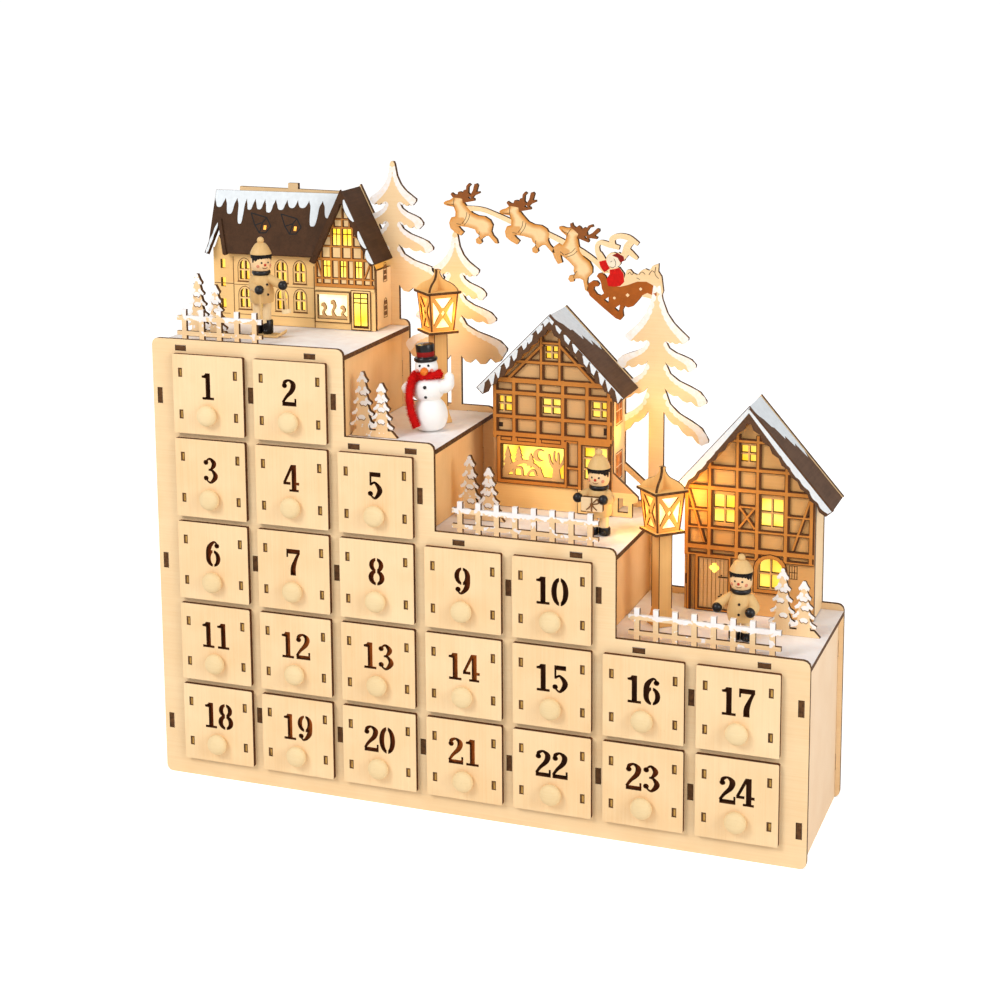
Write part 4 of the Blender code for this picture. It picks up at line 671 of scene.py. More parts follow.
def piece(name, parts, body="chest", stands_for=(), tone=0.0):
    """One object out of parts (points, faces, material, smooth), riding on a body. Two materials
    are a cut sheet's faces and its edges, which join the first half of its points to the other."""
    points = np.concatenate([part[0] for part in parts])
    starts = np.cumsum([0] + [len(part[0]) for part in parts])
    faces, paint, smooth, materials = [], [], [], []
    for start, (spots, cells, material, is_smooth) in zip(starts, parts):
        kinds = material if isinstance(material, tuple) else (material,)
        materials += [kind for kind in kinds if kind not in materials]
        if len(kinds) == 2:
            beyond = (cells >= len(spots) // 2).sum(axis=1) % cells.shape[1] > 0
            paint += [materials.index(kinds[int(edge)]) for edge in beyond]
        else:
            paint += [materials.index(material)] * len(cells)
        cells = [[corner + int(start) for corner in cell] for cell in
                 (cells.tolist() if isinstance(cells, np.ndarray) else cells)]
        faces += cells
        smooth += [is_smooth] * len(cells)
    mesh = bpy.data.meshes.new(name)
    mesh.from_pydata(points.tolist(), [], faces)
    for material in materials:
        mesh.materials.append(material)
    mesh.polygons.foreach_set("material_index", paint)
    mesh.polygons.foreach_set("use_smooth", smooth)
    mesh.set_sharp_from_angle(angle=math.radians(42))
    shade = mesh.attributes.new("tone", "FLOAT", "POINT")
    shade.data.foreach_set("value", np.full(len(points), tone, np.float32))
    mesh.validate()
    thing = into_scene(name, mesh)
    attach(thing, body)
    if stands_for:
        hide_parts(*stands_for)
    return thing


print("mesh helpers ready")

# %% [markdown]
# ## Stencil numbers
#
# The numbers are bold slab-serif numerals, cut right through the fronts. A closed loop, as in 6 or
# 0, would fall out, so a stencil keeps narrow bridges across it. Each numeral is a few strokes in
# a box 10 wide and 16 high, and the bridges are strips that the cut leaves standing.

# %% Numerals
def numerals():
    """Strokes and bridges of each digit, in millimetres."""
    slit, low_slit = box(4.6, -1, 5.4, 17), box(4.7, -1, 5.5, 10.6)
    one = [box(3.7, 0, 6.5, 15.8), box(1.6, 0, 8.6, 1.5),
           np.array([(3.8, 15.8), (3.8, 12.7), (1.5, 13.0), (1.5, 14.2), (3.0, 14.6)])]
    two = [ribbon([(1.9, 11.6, 0.8), (2.5, 13.9, 2.0), (5.0, 15.1, 1.4), (7.4, 12.9, 3.0),
                   (6.6, 9.2, 2.7), (3.4, 5.4, 1.8), (1.2, 2.0, 1.4)]), circle(2.4, 11.9, 1.5),
           box(0.9, 0, 8.9, 2.5), box(8.0, 0, 9.1, 4.6)]
    three = [ribbon([(2.2, 13.2, 0.9), (4.8, 15.1, 1.5), (7.3, 12.3, 2.9), (5.6, 9.0, 1.5),
                     (3.9, 8.6, 1.0)]), circle(2.4, 12.8, 1.5),
             ribbon([(3.9, 8.4, 1.0), (6.2, 8.0, 1.6), (8.0, 4.6, 3.0), (5.0, 0.8, 1.5),
                     (2.1, 2.8, 0.9)]), circle(2.3, 3.3, 1.5)]
    four = [np.array([(6.3, 16.0), (4.9, 16.0), (0.3, 5.6), (0.3, 4.0), (4.5, 4.0), (4.5, 5.7),
                      (2.0, 5.7), (5.0, 12.2)]), box(5.2, 0, 8.0, 16.0), box(3.7, 0, 9.3, 1.4),
            box(5.2, 4.0, 9.6, 5.7)]
    five = [box(2.0, 13.3, 8.3, 16.0), box(2.0, 8.2, 3.1, 15.0),
            ribbon([(2.4, 8.4, 1.2), (5.0, 9.9, 1.5), (7.8, 5.6, 3.0), (5.0, 0.8, 1.5),
                    (2.2, 2.9, 0.9)]), circle(2.4, 3.4, 1.5)]
    six = [oval(5.0, 5.1, 4.4, 5.1), circle(7.4, 12.9, 1.5),
           ribbon([(7.8, 13.2, 1.0), (5.8, 15.2, 1.4), (2.6, 11.4, 2.9), (2.0, 5.4, 2.8)])]
    seven = [box(1.0, 13.2, 9.0, 16.0), box(1.0, 11.0, 2.0, 16.0),
             ribbon([(8.3, 14.0, 1.4), (6.4, 9.6, 2.0), (4.9, 4.8, 3.0), (4.8, 0.2, 3.2)])]
    eight = [oval(5.0, 11.9, 4.1, 4.2), oval(5.0, 4.5, 4.6, 4.6)]
    nine = [np.array([10.0, 16.0]) - stroke for stroke in six]
    zero = [oval(5.0, 8.0, 4.6, 8.1)]
    gaps = {0: [slit, oval(5.0, 8.0, 1.7, 6.2)], 6: [low_slit, oval(5.1, 5.0, 1.6, 3.6)],
            8: [slit, oval(5.0, 11.9, 1.4, 2.6), oval(5.0, 4.4, 1.7, 2.9)]}
    gaps[9] = [np.array([10.0, 16.0]) - gap for gap in gaps[6]]
    digits = (zero, one, two, three, four, five, six, seven, eight, nine)
    return {digit: (strokes, gaps.get(digit, [])) for digit, strokes in enumerate(digits)}


NUMERALS = numerals()
NUMERAL_PITCH = 10.4 * MM


def number_cut(number, middle, base):
    """Strokes and bridges of a whole number, centred on `middle` and standing on `base`."""
    digits = [int(digit) for digit in str(number)]
    strokes, bridges = [], []
    for place, digit in enumerate(digits):
        left = middle + (place - len(digits) / 2) * NUMERAL_PITCH + (NUMERAL_PITCH - 10 * MM) / 2
        corner, scale = np.array([left - 0.7 * MM, base]), np.array([1.14, 1.05]) * MM
        strokes += [stroke * scale + corner for stroke in NUMERALS[digit][0]]
        bridges += [bridge * scale + corner for bridge in NUMERALS[digit][1]]
    return strokes, bridges


print("numerals", len(NUMERALS))

# %% [markdown]
# ## Drawers
#
# A drawer is five boards. Its side boards have two tabs each that pass through the front and show
# there as small charred rectangles. The knob is turned, with a low dome and a short neck. A card
# just behind the front, dark brown, red-brown or red, paints the shade and light of the drawer's
# inside as it is seen through the number.

# %% Drawers
TRAY_WALL = 2.8 * MM
TRAY_DEPTH = 80.0 * MM
TAB_IN = 5.2 * MM
TAB_DROPS = (11.4 * MM, 37.6 * MM)
TAB_H, TAB_W, SLACK = 5.4 * MM, 2.5 * MM, 0.15 * MM
KNOB_PROFILE = spline(np.array([(4.9, 0.0), (5.0, 0.6), (6.2, 1.6), (6.5, 2.9), (6.0, 4.4),
                                (4.4, 5.8), (2.2, 6.5), (0.0, 6.6)]) * MM, 3)
FRONT_BACK = FACE_Y - SEAT
LAYOUT = [(column, row) for row in range(5) for column in range(7) if row >= FIRST_ROW[column]]
shades = np.random.default_rng(24).uniform(-0.10, 0.16, 24)
burnt = plain("burnt edge", (0.15, 0.048, 0.014), 0.8, size=2.5 * MM, shade=0.25)
tab_end = plain("tab end", (0.66, 0.37, 0.09), 0.7, size=4 * MM, shade=0.3)
# Cards behind the numbers in three tones, dark brown to red: painted shade and light of the
# drawer's inside, one tone per drawer.
INSIDE_SHADE_CARDS = [plain(f"painted shade inside a number {i}", tone, 0.8, size=9 * MM, shade=0.25)
            for i, tone in enumerate(((0.10, 0.030, 0.010), (0.36, 0.075, 0.014),
                                      (0.85, 0.20, 0.03)))]
INSIDE_SHADE_OF = {**dict.fromkeys((3, 4, 6, 7, 8, 9, 11, 18, 20, 23), 1),
              **dict.fromkeys((12, 13, 14, 19, 21), 2)}
knob_wood = turned_finish("knob wood", (0.86, 0.68, 0.40), (0.76, 0.55, 0.28), 0.5, 0)


def drawer_parts(number, column, row):
    """One drawer's boards: front, sides, floor, card, back and tab ends. Then its knob."""
    left, top = column_left(column), row_top(row)
    middle, bottom = left + FRONT_W / 2, top - FRONT_H
    walls = [middle + side * (FRONT_W / 2 - TAB_IN) for side in (-1, 1)]
    tabs = [(x, top - drop) for x in walls for drop in TAB_DROPS]
    slots = [box(x - TAB_W / 2 - SLACK, z - TAB_H / 2 - SLACK, x + TAB_W / 2 + SLACK,
                 z + TAB_H / 2 + SLACK) for x, z in tabs]
    ends = [box(x - 0.2 * MM, z - TAB_H / 2 + 0.7 * MM, x + TAB_W / 2 - 0.3 * MM,
                z + TAB_H / 2 - 0.7 * MM) for x, z in tabs]
    strokes, bridges = number_cut(number, middle, top - 19.4 * MM - 8 * MM)
    low, high, far = deck_top(row + 1) + SEAT, top - 5.0 * MM, FACE_Y + TRAY_DEPTH
    start, end = walls[0] + TAB_W / 2 + HAIR, walls[1] - TAB_W / 2 - HAIR
    side_board = [box(FRONT_BACK + HAIR, low, far, high)]
    side_board += [box(FRONT_BACK - PLY + HAIR, z - TAB_H / 2, far, z + TAB_H / 2)
                   for _, z in tabs[:2]]
    knob, faces = turned(KNOB_PROFILE, 36)
    knob_at = (middle, FRONT_BACK - PLY + 0.02 * MM, bottom + 12.5 * MM)
    return [
        layer([rounded_box(left, bottom, left + FRONT_W, top, 0.8 * MM)], PLY, (0, FRONT_BACK, 0),
              (facing_z, burnt), unit=1, holes=slots + strokes, bridges=bridges),
        *[layer(side_board, TAB_W, (x - TAB_W / 2, 0, 0), upright, Y_AXIS, unit=1)
          for x in walls],
        layer([box(start, FRONT_BACK + HAIR, end, far)], TRAY_WALL, (0, 0, low), level,
              up=Y_AXIS, unit=1),
        # The card behind the number: painted shade and light of the drawer's inside.
        layer([box(start, low + TRAY_WALL + 0.1 * MM, end, top - 8.5 * MM)], 0.3 * MM,
              (0, FRONT_BACK + 0.4 * MM, 0), INSIDE_SHADE_CARDS[INSIDE_SHADE_OF.get(number, 0)], unit=1),
        layer([box(start, low + TRAY_WALL + HAIR, end, high)], TRAY_WALL, (0, far, 0),
              facing_z, unit=1),
        layer(ends, HAIR, (0, FRONT_BACK - PLY + 0.06 * MM, 0), tab_end, unit=1),
        (onto(knob, knob_at, X_AXIS, Z_AXIS), faces, knob_wood, True)]


for number, (column, row) in enumerate(LAYOUT, 1):
    name = f"drawer_{number:02d}"
    piece(f"{name}_boards", drawer_parts(number, column, row), name, [name],
          shades[number - 1])
print("drawers", len(LAYOUT))

# %% [markdown]
# ## Layers on the houses
#
# The houses' paint, snow, window films and small boards are all flat shapes on one of a few
# planes: a front wall, a roof slope or a side. Each house knows its place and its gable.

# %% Houses
def stroke_line(knots, width):
    """Outline of a straight or bent line of one width, in millimetres."""
    return ribbon(np.column_stack([knots, np.full(len(knots), width)]), 4)


class House:
    """A house's middle and foot in metres, and the sizes of its gable in millimetres: half its
    width, the ridge's height, and how far a roof slope reaches out, drops and stands proud."""

    def __init__(self, step, shift, half, ridge, reach, drop, proud):
        self.x, self.z = MIDDLES[step] + shift * MM, DECKS[step]
        self.board_y = FACADE_Y - proud * MM
        self.half, self.ridge, self.slope = half, ridge, drop / reach
        self.length = math.hypot(reach, drop)
        self.run, self.fall = reach / self.length, drop / self.length

    def at(self, y):
        return self.x, y, self.z

    def gable(self, inset, gap):
        """The wall: two posts and slopes that are parallel to the roof, this far under it."""
        half, under = self.half - inset, self.ridge - gap
        eave = under - half * self.slope
        return np.array([(-half, 0), (half, 0), (half, eave), (0, under), (-half, eave)])


HOUSES = {"house_1": House(0, 32.0, 20.6, 90.2, 22.6, 46.4, 5.0),
          "house_2": House(2, -7.7, 38.4, 124.6, 47.6, 48.4, 6.0),
          "house_3": House(3, 3.6, 39.2, 129.6, 50.6, 59.0, 6.0)}
house_1, house_2, house_3 = HOUSES.values()
print("houses at", {name: round(house.x, 4) for name, house in HOUSES.items()})


def first_step(y, up=0.0):
    """The middle of the first step's deck, to which the long wall of house 1 is drawn."""
    return MIDDLES[0], y, DECKS[0] + up

# %% [markdown]
# ## Lit windows
#
# Behind every window is a yellow film with a lamp of warm light behind it. A film just behind the
# wall glows through all the openings at once, and is brighter and paler in random patches.

# %% Window films
WALL_BACK = FACADE_Y + PLY + 0.35 * MM
FILMS = {"house_2": np.maximum(house_2.gable(3.6, 10.0), (-1000, 1.5)),
         "house_3": np.maximum(house_3.gable(3.6, 10.0), (-1000, 1.5)),
         "house_1": [(-89.6, 1.5), (17.0, 1.5), (17.0, 42.0), (4.0, 70.0), (-4.0, 70.0),
                     (-17.0, 45.0), (-89.6, 45.0)]}
for name, outline in FILMS.items():
    film = layer([outline], 0.3, HOUSES[name].at(WALL_BACK + 0.3 * MM), window_glow)
    piece(f"{name}_film", [film])
print("films", len(FILMS))

# %% [markdown]
# ## Shop windows
#
# Each shop window holds a cut scene in front of its glow. The small one has three candle-like
# curls, and the large one a winter wood: firs on a hill, a crescent moon and a bare tree.

# %% Shop windows
def fir_shape(x, foot, height, half):
    """A small fir: three tiers that step in towards the tip."""
    side = [(0.10, 0.0), (0.10, 0.14), (1.0, 0.12), (0.42, 0.42), (0.78, 0.40), (0.30, 0.66),
            (0.55, 0.64), (0.0, 1.0)]
    right_side = [(x + a * half, foot + b * height) for a, b in side]
    return np.array(right_side + [(x - a * half, foot + b * height) for a, b in side[:-1]][::-1])


def moon(x, z, radius):
    """A crescent: a circle's arc, and back along the arc of a circle set to its side."""
    angle = np.linspace(0.35 * math.pi, 1.65 * math.pi, 14)
    outer = np.column_stack([x + radius * np.cos(angle), z + radius * np.sin(angle)])
    inner = np.column_stack([x + radius * 0.45 + 0.78 * radius * np.cos(angle[::-1]) * 0.95,
                             z + 0.78 * radius * np.sin(angle[::-1])])
    return np.concatenate([outer, inner])


WOOD_SCENE = [
    box(-33.4, 18.2, 8.0, 20.6),
    ribbon([(-33.0, 19.0, 4.0), (-27.0, 26.0, 3.4), (-19.0, 29.6, 2.2), (-11.0, 26.6, 2.4),
            (-7.0, 19.0, 3.2)]),
    fir_shape(-29.6, 20.0, 19.0, 4.0), fir_shape(-22.4, 28.6, 10.6, 3.0),
    fir_shape(-14.6, 26.0, 9.4, 3.0), fir_shape(-8.6, 19.6, 7.4, 2.2),
    moon(-9.0, 34.4, 4.0),
    ribbon([(-25.6, 20.0, 1.6), (-25.2, 24.4, 1.4), (-23.0, 25.6, 1.3), (-20.6, 25.0, 1.5),
            (-20.0, 20.2, 1.3)]), oval(-26.0, 25.6, 1.4, 1.0, 10),
    ribbon([(-17.0, 20.0, 1.4), (-15.4, 23.4, 1.5), (-12.4, 24.2, 1.5), (-10.8, 20.2, 1.3)]),
    ribbon([(2.2, 18.6, 6.4), (2.0, 25.0, 4.4), (2.4, 30.0, 4.0)]),
    ribbon([(1.0, 27.0, 2.2), (-1.8, 30.6, 1.6), (-2.8, 35.6, 1.0)]),
    ribbon([(1.8, 29.0, 2.2), (0.4, 33.0, 1.4), (0.8, 37.6, 0.9)]),
    ribbon([(2.8, 29.0, 2.2), (3.4, 33.4, 1.4), (3.2, 37.0, 0.9)]),
    ribbon([(3.4, 27.4, 2.2), (6.2, 31.0, 1.6), (7.6, 36.4, 1.0)]),
]
SHOP_SCENE = [box(12.4, 6.2, 33.6, 8.4)]
for u, height in ((16.4, 9.6), (23.0, 12.0), (29.6, 8.0)):
    SHOP_SCENE.append(ribbon([(u + 0.8, 7.6, 2.6), (u - 0.6, 7.6 + height * 0.3, 1.5),
                              (u + 0.9, 7.6 + height * 0.6, 1.9),
                              (u - 0.5, 7.6 + height * 0.85, 2.3),
                              (u - 1.4, 7.4 + height * 0.72, 0.8)]))
scene_wood = plywood("shop scene wood", 1, 0, (0.80, 0.50, 0.22), (0.62, 0.33, 0.12), 51)
white_glow = glowing("bright film", (1.0, 0.95, 0.70), (1.0, 0.85, 0.35), 1.1, 9 * MM)
THIN = THIN_PLY / MM
shop_window = box(12.7, 6.7, 33.3, 22.3)
piece("house_2_shop_scene",
      [layer(WOOD_SCENE, THIN, house_2.at(FACADE_Y + 2.2 * MM), scene_wood,
             within=[box(-32.9, 18.7, 7.5, 40.3)])])
piece("house_1_shop_scene",
      [layer(SHOP_SCENE, THIN, first_step(FACADE_Y + 2.2 * MM), scene_wood,
             within=[shop_window]),
       layer([shop_window], 0.3, first_step(FACADE_Y + 2.7 * MM), white_glow)])
print("shop scenes", len(WOOD_SCENE), len(SHOP_SCENE))

# %% [markdown]
# ## Engraved lines and small joints
#
# The laser also draws without cutting through: window frames on the first house, the boards of the
# third one's door, its hinges, and the lines along the foot of the walls. Where a side wall's tab
# comes through the front, a small dark rectangle shows.

# %% Engraving
ENGRAVED = 0.12
ON_WALL = FACADE_Y + HAIR


def frame_lines(loops, width):
    """Outlines and holes of the lines of this width round the loops."""
    wide, loops = [], [anticlockwise(loop) for loop in loops]
    for loop in loops:
        centre = (loop.max(axis=0) + loop.min(axis=0)) / 2
        half = (loop.max(axis=0) - loop.min(axis=0)) / 2
        wide.append(centre + (loop - centre) * (half + width) / half)
    return wide, loops


def arch(left, bottom, right, top, steps=9):
    """A box whose head is a half ellipse, of the last third of its height."""
    spring = bottom + (top - bottom) * 0.62
    angle = np.linspace(0, math.pi, steps)
    middle, half = (left + right) / 2, (right - left) / 2
    head = np.column_stack([middle + half * np.cos(angle), spring + (top - spring) * np.sin(angle)])
    return np.concatenate([[(left, bottom), (right, bottom)], head])


spots = [(u, v) for u in (-39.0, -25.8, -12.6, 0.4) for v in (11.0, 29.4)]
arches, line_holes = frame_lines([arch(u - 4.4, v - 0.9, u + 4.4, v + 13.6) for u, v in spots],
                                 0.45)
sills = [box(u - 5.2, v - 1.9, u + 5.2, v - 1.3) for u, v in spots]
lines = [loop for pair in zip(arches, sills) for loop in pair]
straight = [box(-47.2, 0.4, -46.7, 44.0), box(10.2, 0.4, 10.8, 40.0), box(-60.8, 26.0, -47.0, 26.5),
            box(-46.8, 6.2, 10.4, 6.6), box(-60.8, 6.2, -50.0, 6.6), box(-47.0, 25.6, 10.4, 26.0),
            box(35.4, 5.4, 36.0, 25.0), box(12.0, 5.2, 34.0, 5.6)]
piece("house_1_engraving",
      [layer(lines + straight, ENGRAVED, first_step(ON_WALL), brown_print, holes=line_holes)])

lines, line_holes = frame_lines([arch(48.4, v, 53.4, v + 12.0) for v in (7.0, 30.0)], 0.4)
panes = [box(49.1 + 2.1 * i, v + 1.0 + 3.5 * j, 50.6 + 2.1 * i, v + 3.7 + 3.5 * j)
         for v in (7.0, 30.0) for i in range(2) for j in range(3)]
side_at = (MIDDLES[0] + 52.6 * MM - HAIR, -5 * MM, DECKS[0])
piece("house_1_side_windows",
      [layer(lines + panes, ENGRAVED, side_at, brown_print, across=Y_AXIS, holes=line_holes,
             bridges=panes)])

gaps = [box(u - 0.22, 2.6, u + 0.22, 32.6) for u in (-27.4, -24.9, -22.3, -19.8, -17.2, -14.9)]
leaf = [circle(-20.8 + a, 27.4 + b, 1.5, 10)
        for a, b in ((1.5, 0), (-1.5, 0), (0, 1.5), (0, -1.5))]
hinges = [box(-18.4, 21.6, -12.8, 22.3), box(-18.4, 9.4, -12.8, 10.1), circle(-16.4, 23.0, 0.5, 8),
          circle(-16.4, 10.9, 0.5, 8)]
shutter = [box(24.2 + 1.5 * i, 25.0, 24.6 + 1.5 * i, 33.4) for i in range(4)]
shutter += [box(24.2, 25.0, 29.2, 25.4), box(24.2, 33.0, 29.2, 33.4), box(24.2, 29.0, 29.2, 29.4)]
joints = [box(-38.6, 15.6, -36.0, 22.0), box(35.4, 34.0, 37.6, 36.0)]
raised = house_3.at(FACADE_Y - 0.42 * MM)
piece("house_3_door",
      [layer([box(-30.0, 2.2, -12.6, 33.2)], 0.5, house_3.at(ON_WALL), scene_wood, holes=gaps),
       layer(hinges, 0.3, raised, dark_print), layer(leaf, 0.1, raised, window_glow),
       layer(shutter + joints, ENGRAVED, house_3.at(ON_WALL), dark_print)])
print("engraved lines", len(lines + straight + gaps))

# %% [markdown]
# ## Charred rims and painted shadows of the timbers
#
# The beams and posts are cut from one more sheet, and they are seen a little from the right and
# from above, so each shows its charred edge there. A rim is a printed layer: the timbers less
# their lit faces. It paints that edge together with shade on the timber's own face, widest on the
# right of a post and on top of a beam. The finer lattice of the first gable is laid on a thin
# cream board of its own.

# %% Timber rims
# Dark print of the timbers' charred edges with painted shadow, also used for dark lines round
# openings and panes.
char_and_shadow_print = plain("charred rim and painted shadow", (0.10, 0.034, 0.009), 0.7)
lattice_wood = plywood("lattice wood", 1, 2, (0.66, 0.27, 0.06), (0.48, 0.17, 0.03), 63)
cream_board = plywood("cream board", 1, 0, (0.92, 0.66, 0.34), (0.82, 0.52, 0.22), 64)
dusk_glow = glowing("dusky window film", (0.62, 0.20, 0.03), (0.16, 0.035, 0.008), 0.35, 5 * MM)
# Widths (left, low, right, high) of the dark rim on each timber: charred edge and painted shadow,
# widest to the right and above.
RIMS = {"beam": (0, 0.35, 0, 0.85), "post": (0.35, 0, 1.25, 0), "frame": (0.4, 0.4, 1.1, 0)}
SLIM = {"beam": (0, 0.2, 0, 0.5), "post": (0.2, 0, 0.95, 0)}


def level_beams(left, right, rows):
    """A beam from left to right at each (low, high)."""
    return [("beam", left, low, right, high) for low, high in rows]


def upright_posts(places, width, low, high):
    """A post about each place along u."""
    return [("post", u - width / 2, low, u + width / 2, high) for u in places]


def rimmed(boards, braces, rims):
    """Outlines of timbers (kind, left, low, right, high), and of their lit faces. What lies
    between is the rim of charred edge and painted shadow.
    """
    whole, lit = [], []
    for kind, *sides in boards:
        whole.append(box(*sides))
        lit.append(box(*(np.array(sides) + np.array(rims[kind]) * (1, 1, -1, -1))))
    for start, end, width in braces:
        whole.append(stroke_line([start, end], width))
        lit.append(stroke_line([start, end], width * 0.56) + (-0.2 * width, 0))
    return whole, lit


TIMBERS = {
    "house_2": (
        level_beams(-38.4, 38.4, ((45.6, 49.4), (57.0, 60.2), (72.0, 75.4), (79.6, 83.6)))
        + level_beams(-27, 27, ((92.2, 95.0),)) + level_beams(-6, 5, ((104.8, 107.2),))
        + upright_posts((-36.6, -24.1, -8.5, 7.4, 22.9, 36.6), 3.6, 44.4, 83.0)
        + upright_posts((-6.4, 5.4), 3.0, 80.0, 111.0)
        + [("frame", -36.0, 15.6, 10.6, 45.0), ("frame", 16.4, 0.4, 37.6, 46.0),
           ("beam", 10.0, 27.6, 17.0, 30.0), ("beam", 10.0, 15.6, 17.0, 18.0)],
        [((-28, 82), (-5.4, 104.8), 2.6), ((28, 82), (5.4, 104.8), 2.6)],
        [box(-33.0, 18.6, 7.6, 40.4), box(19.2, 2.4, 35.8, 43.4)]),
    "house_3": (
        level_beams(-39.2, 39.2, ((34.6, 36.6), (38.6, 42.4), (75.6, 79.0)))
        + level_beams(-37, -23, ((62.4, 64.6), (51.4, 53.6)))
        + level_beams(-23, 37, ((51.4, 53.8),)) + level_beams(22, 37, ((62.4, 64.6),))
        + level_beams(-30, 30, ((88.6, 91.6),))
        + level_beams(-17, 17, ((106.0, 108.6),)) + level_beams(-5.6, 3.8, ((66.2, 68.4),))
        + upright_posts((-37.4, -23.6, -7.0, 5.2, 22.4, 37.4), 3.6, 34.8, 78.0)
        + upright_posts((-7.0, 5.2), 3.2, 77.0, 111.0)
        + upright_posts((-23.6, 22.4), 3.2, 77.0, 93.0)
        + [("post", -37.6, 0.4, -35.0, 36.0), ("frame", -32.6, 0.4, -9.8, 35.6)],
        [((-36.6, 75.0), (-26.6, 43.0), 2.2), ((36.6, 75.0), (26.6, 43.0), 2.2),
         ((-5.6, 54.0), (3.8, 67.0), 2.2), ((3.8, 54.0), (-5.6, 67.0), 2.2)],
        [box(-30.2, 2.0, -12.4, 33.4), arch(3.4, 15.4, 23.0, 39.0)])}
for name, (boards, braces, gaps) in TIMBERS.items():
    house = HOUSES[name]
    whole, lit = rimmed(boards, braces, RIMS)
    panels = [box(left, 43.4, right, 45.0) for left, right in
              ((-32.8, -26.4), (-22.0, -10.8), (-6.4, 5.4))] if name == "house_2" else []
    lines, line_holes = frame_lines(gaps + panels, 0.55)
    at = house.at(FACADE_Y - THIN_PLY - 0.01 * MM)
    piece(f"{name}_rims",
          [layer(whole, 0.05, at, char_and_shadow_print, holes=lit + gaps, within=[house.gable(0.3, 8.0)]),
           layer(lines, 0.06, at, char_and_shadow_print, holes=line_holes)])
print("rimmed houses", len(TIMBERS))

# %% Lattice of the first gable
lattice = (level_beams(-20.4, 20.4, ((27.3, 30.0), (32.4, 33.9), (44.4, 46.6), (52.9, 54.4)))
           + level_beams(-12, 10, ((65.0, 66.6),)) + level_beams(-8, 8, ((70.4, 71.8),))
           + level_beams(-16, -7.6, ((59.4, 60.8),)) + level_beams(6.4, 14, ((59.4, 60.8),))
           + upright_posts((-19.4, -15.0, -8.5, -3.2, 2.4, 7.2, 13.2, 18.6), 2.2, 29.6, 45.0)
           + upright_posts((-15.6, -8.7, -1.4, 5.6, 12.8), 2.2, 46.0, 53.4)
           + upright_posts((-8.2, -1.2, 6.4), 2.2, 54.0, 65.4)
           + upright_posts((-6.8, -0.6, 4.4), 2.0, 66.0, 71.0)
           + upright_posts((-0.4,), 1.6, 71.4, 78.0))
lattice_braces = [((-18.8, 44.4), (-15.6, 34.0), 1.5), ((18.4, 44.4), (14.2, 34.0), 1.5)]
whole, lit = rimmed(lattice, lattice_braces, SLIM)
panes = [(left, 34.2, right, 44.2) for left, right in ((-14.0, -9.8), (-2.2, 1.4), (8.2, 12.0))]
panes += [(-7.1, 54.6, -2.4, 64.8), (-0.1, 54.6, 5.2, 64.8)]
bars = [box((left + right) / 2 - 0.3, low, (left + right) / 2 + 0.3, high)
        for left, low, right, high in panes]
bars += [box(left, high - 3.6, right, high - 3.0) for left, _, right, high in panes]
door_panes = [box(left, low, left + 3.9, high) for left in (6.3, 11.0)
              for low, high in ((3.4, 17.6), (18.4, 20.5), (21.3, 23.7))]
lines, line_holes = frame_lines([box(-19.4, 6.6, 1.4, 22.4), box(-20.8, 4.8, 2.8, 24.0),
                                 box(4.6, 0.9, 17.2, 25.6)], 0.5)
limit = {"within": [house_1.gable(0.3, 6.2)]}
GABLE_FACE = FACADE_Y - THIN_PLY / 2 - 0.1 * MM
ON_GABLE = (([box(-20.4, 27.2, 20.4, 84)], -0.83, 0.84, cream_board, limit),
            ([box(*pane) for pane in panes], 0.0, 0.06, window_glow, {}),
            (whole + bars, 0.0, 0.25, char_and_shadow_print, limit), (lit, 0.0, 0.34, lattice_wood, limit),
            (lines, -0.12, 0.1, char_and_shadow_print, {"holes": line_holes}),
            ([box(5.7, 1.9, 16.1, 24.5)], -0.83, 0.3, char_and_shadow_print, {}),
            (door_panes, -0.83, 0.36, window_glow, {}))
piece("house_1_lattice",
      [layer(loops, thickness, house_1.at(GABLE_FACE - forward * MM), material, **cuts)
       for loops, forward, thickness, material, cuts in ON_GABLE])
print("lattice layers", len(ON_GABLE))

# %% Side windows and joints of the second house
side_at = (house_2.x + (house_2.half - 0.25) * MM, FACADE_Y, house_2.z)
side_glass = [box(8.4 + 6.3 * i, v + 0.9 + 8.0 * j, 13.5 + 6.3 * i, v + 8.1 + 8.0 * j)
              for v in (20.4, 55.4) for i in range(2) for j in range(2)]
lines, line_holes = frame_lines([box(7.6, v, 20.6, v + 17.0) for v in (20.4, 55.4)], 0.5)
piece("house_2_side_windows",
      [layer(lines, 0.2, side_at, char_and_shadow_print, across=Y_AXIS, holes=line_holes),
       layer(side_glass, 0.2, side_at, dusk_glow, across=Y_AXIS)])
piece("house_2_joints",
      [layer([box(-34.8, 51.2, -32.2, 54.0), box(32.6, 50.6, 35.0, 55.0)], ENGRAVED,
             house_2.at(ON_WALL), dark_print)])
print("side panes", len(side_glass))

# %% [markdown]
# ## Snow on the roofs
#
# The first roof has a white band whose drips hang down to different depths. The second has jagged
# icicles on its barge boards, and the third a broad white band with a scalloped dark edge below.
# Each is a printed layer, so its outline is a function of the place along the slope.

# %% Icicles of the first roof
LEAN = math.atan2(15.0, 38.9)
SLOPE_UP = (0, math.sin(LEAN), math.cos(LEAN))
SLOPE_AT = np.array(first_step(FACADE_Y - 2.6 * MM, 46.0 * MM))
ROOF_FACE = np.cross(X_AXIS, SLOPE_UP) * 2.98 * MM
SLOPE_LENGTH = 41.7
DRIPS = ((-59.0, 11.7), (-50.8, 16.0), (-42.2, 22.3), (-37.0, 12.8), (-29.8, 12.3), (-23.1, 14.2),
         (-14.5, 12.2), (-6.8, 10.7), (0.4, 10.4), (9.0, 22.2), (19.5, 16.5), (27.6, 8.8))


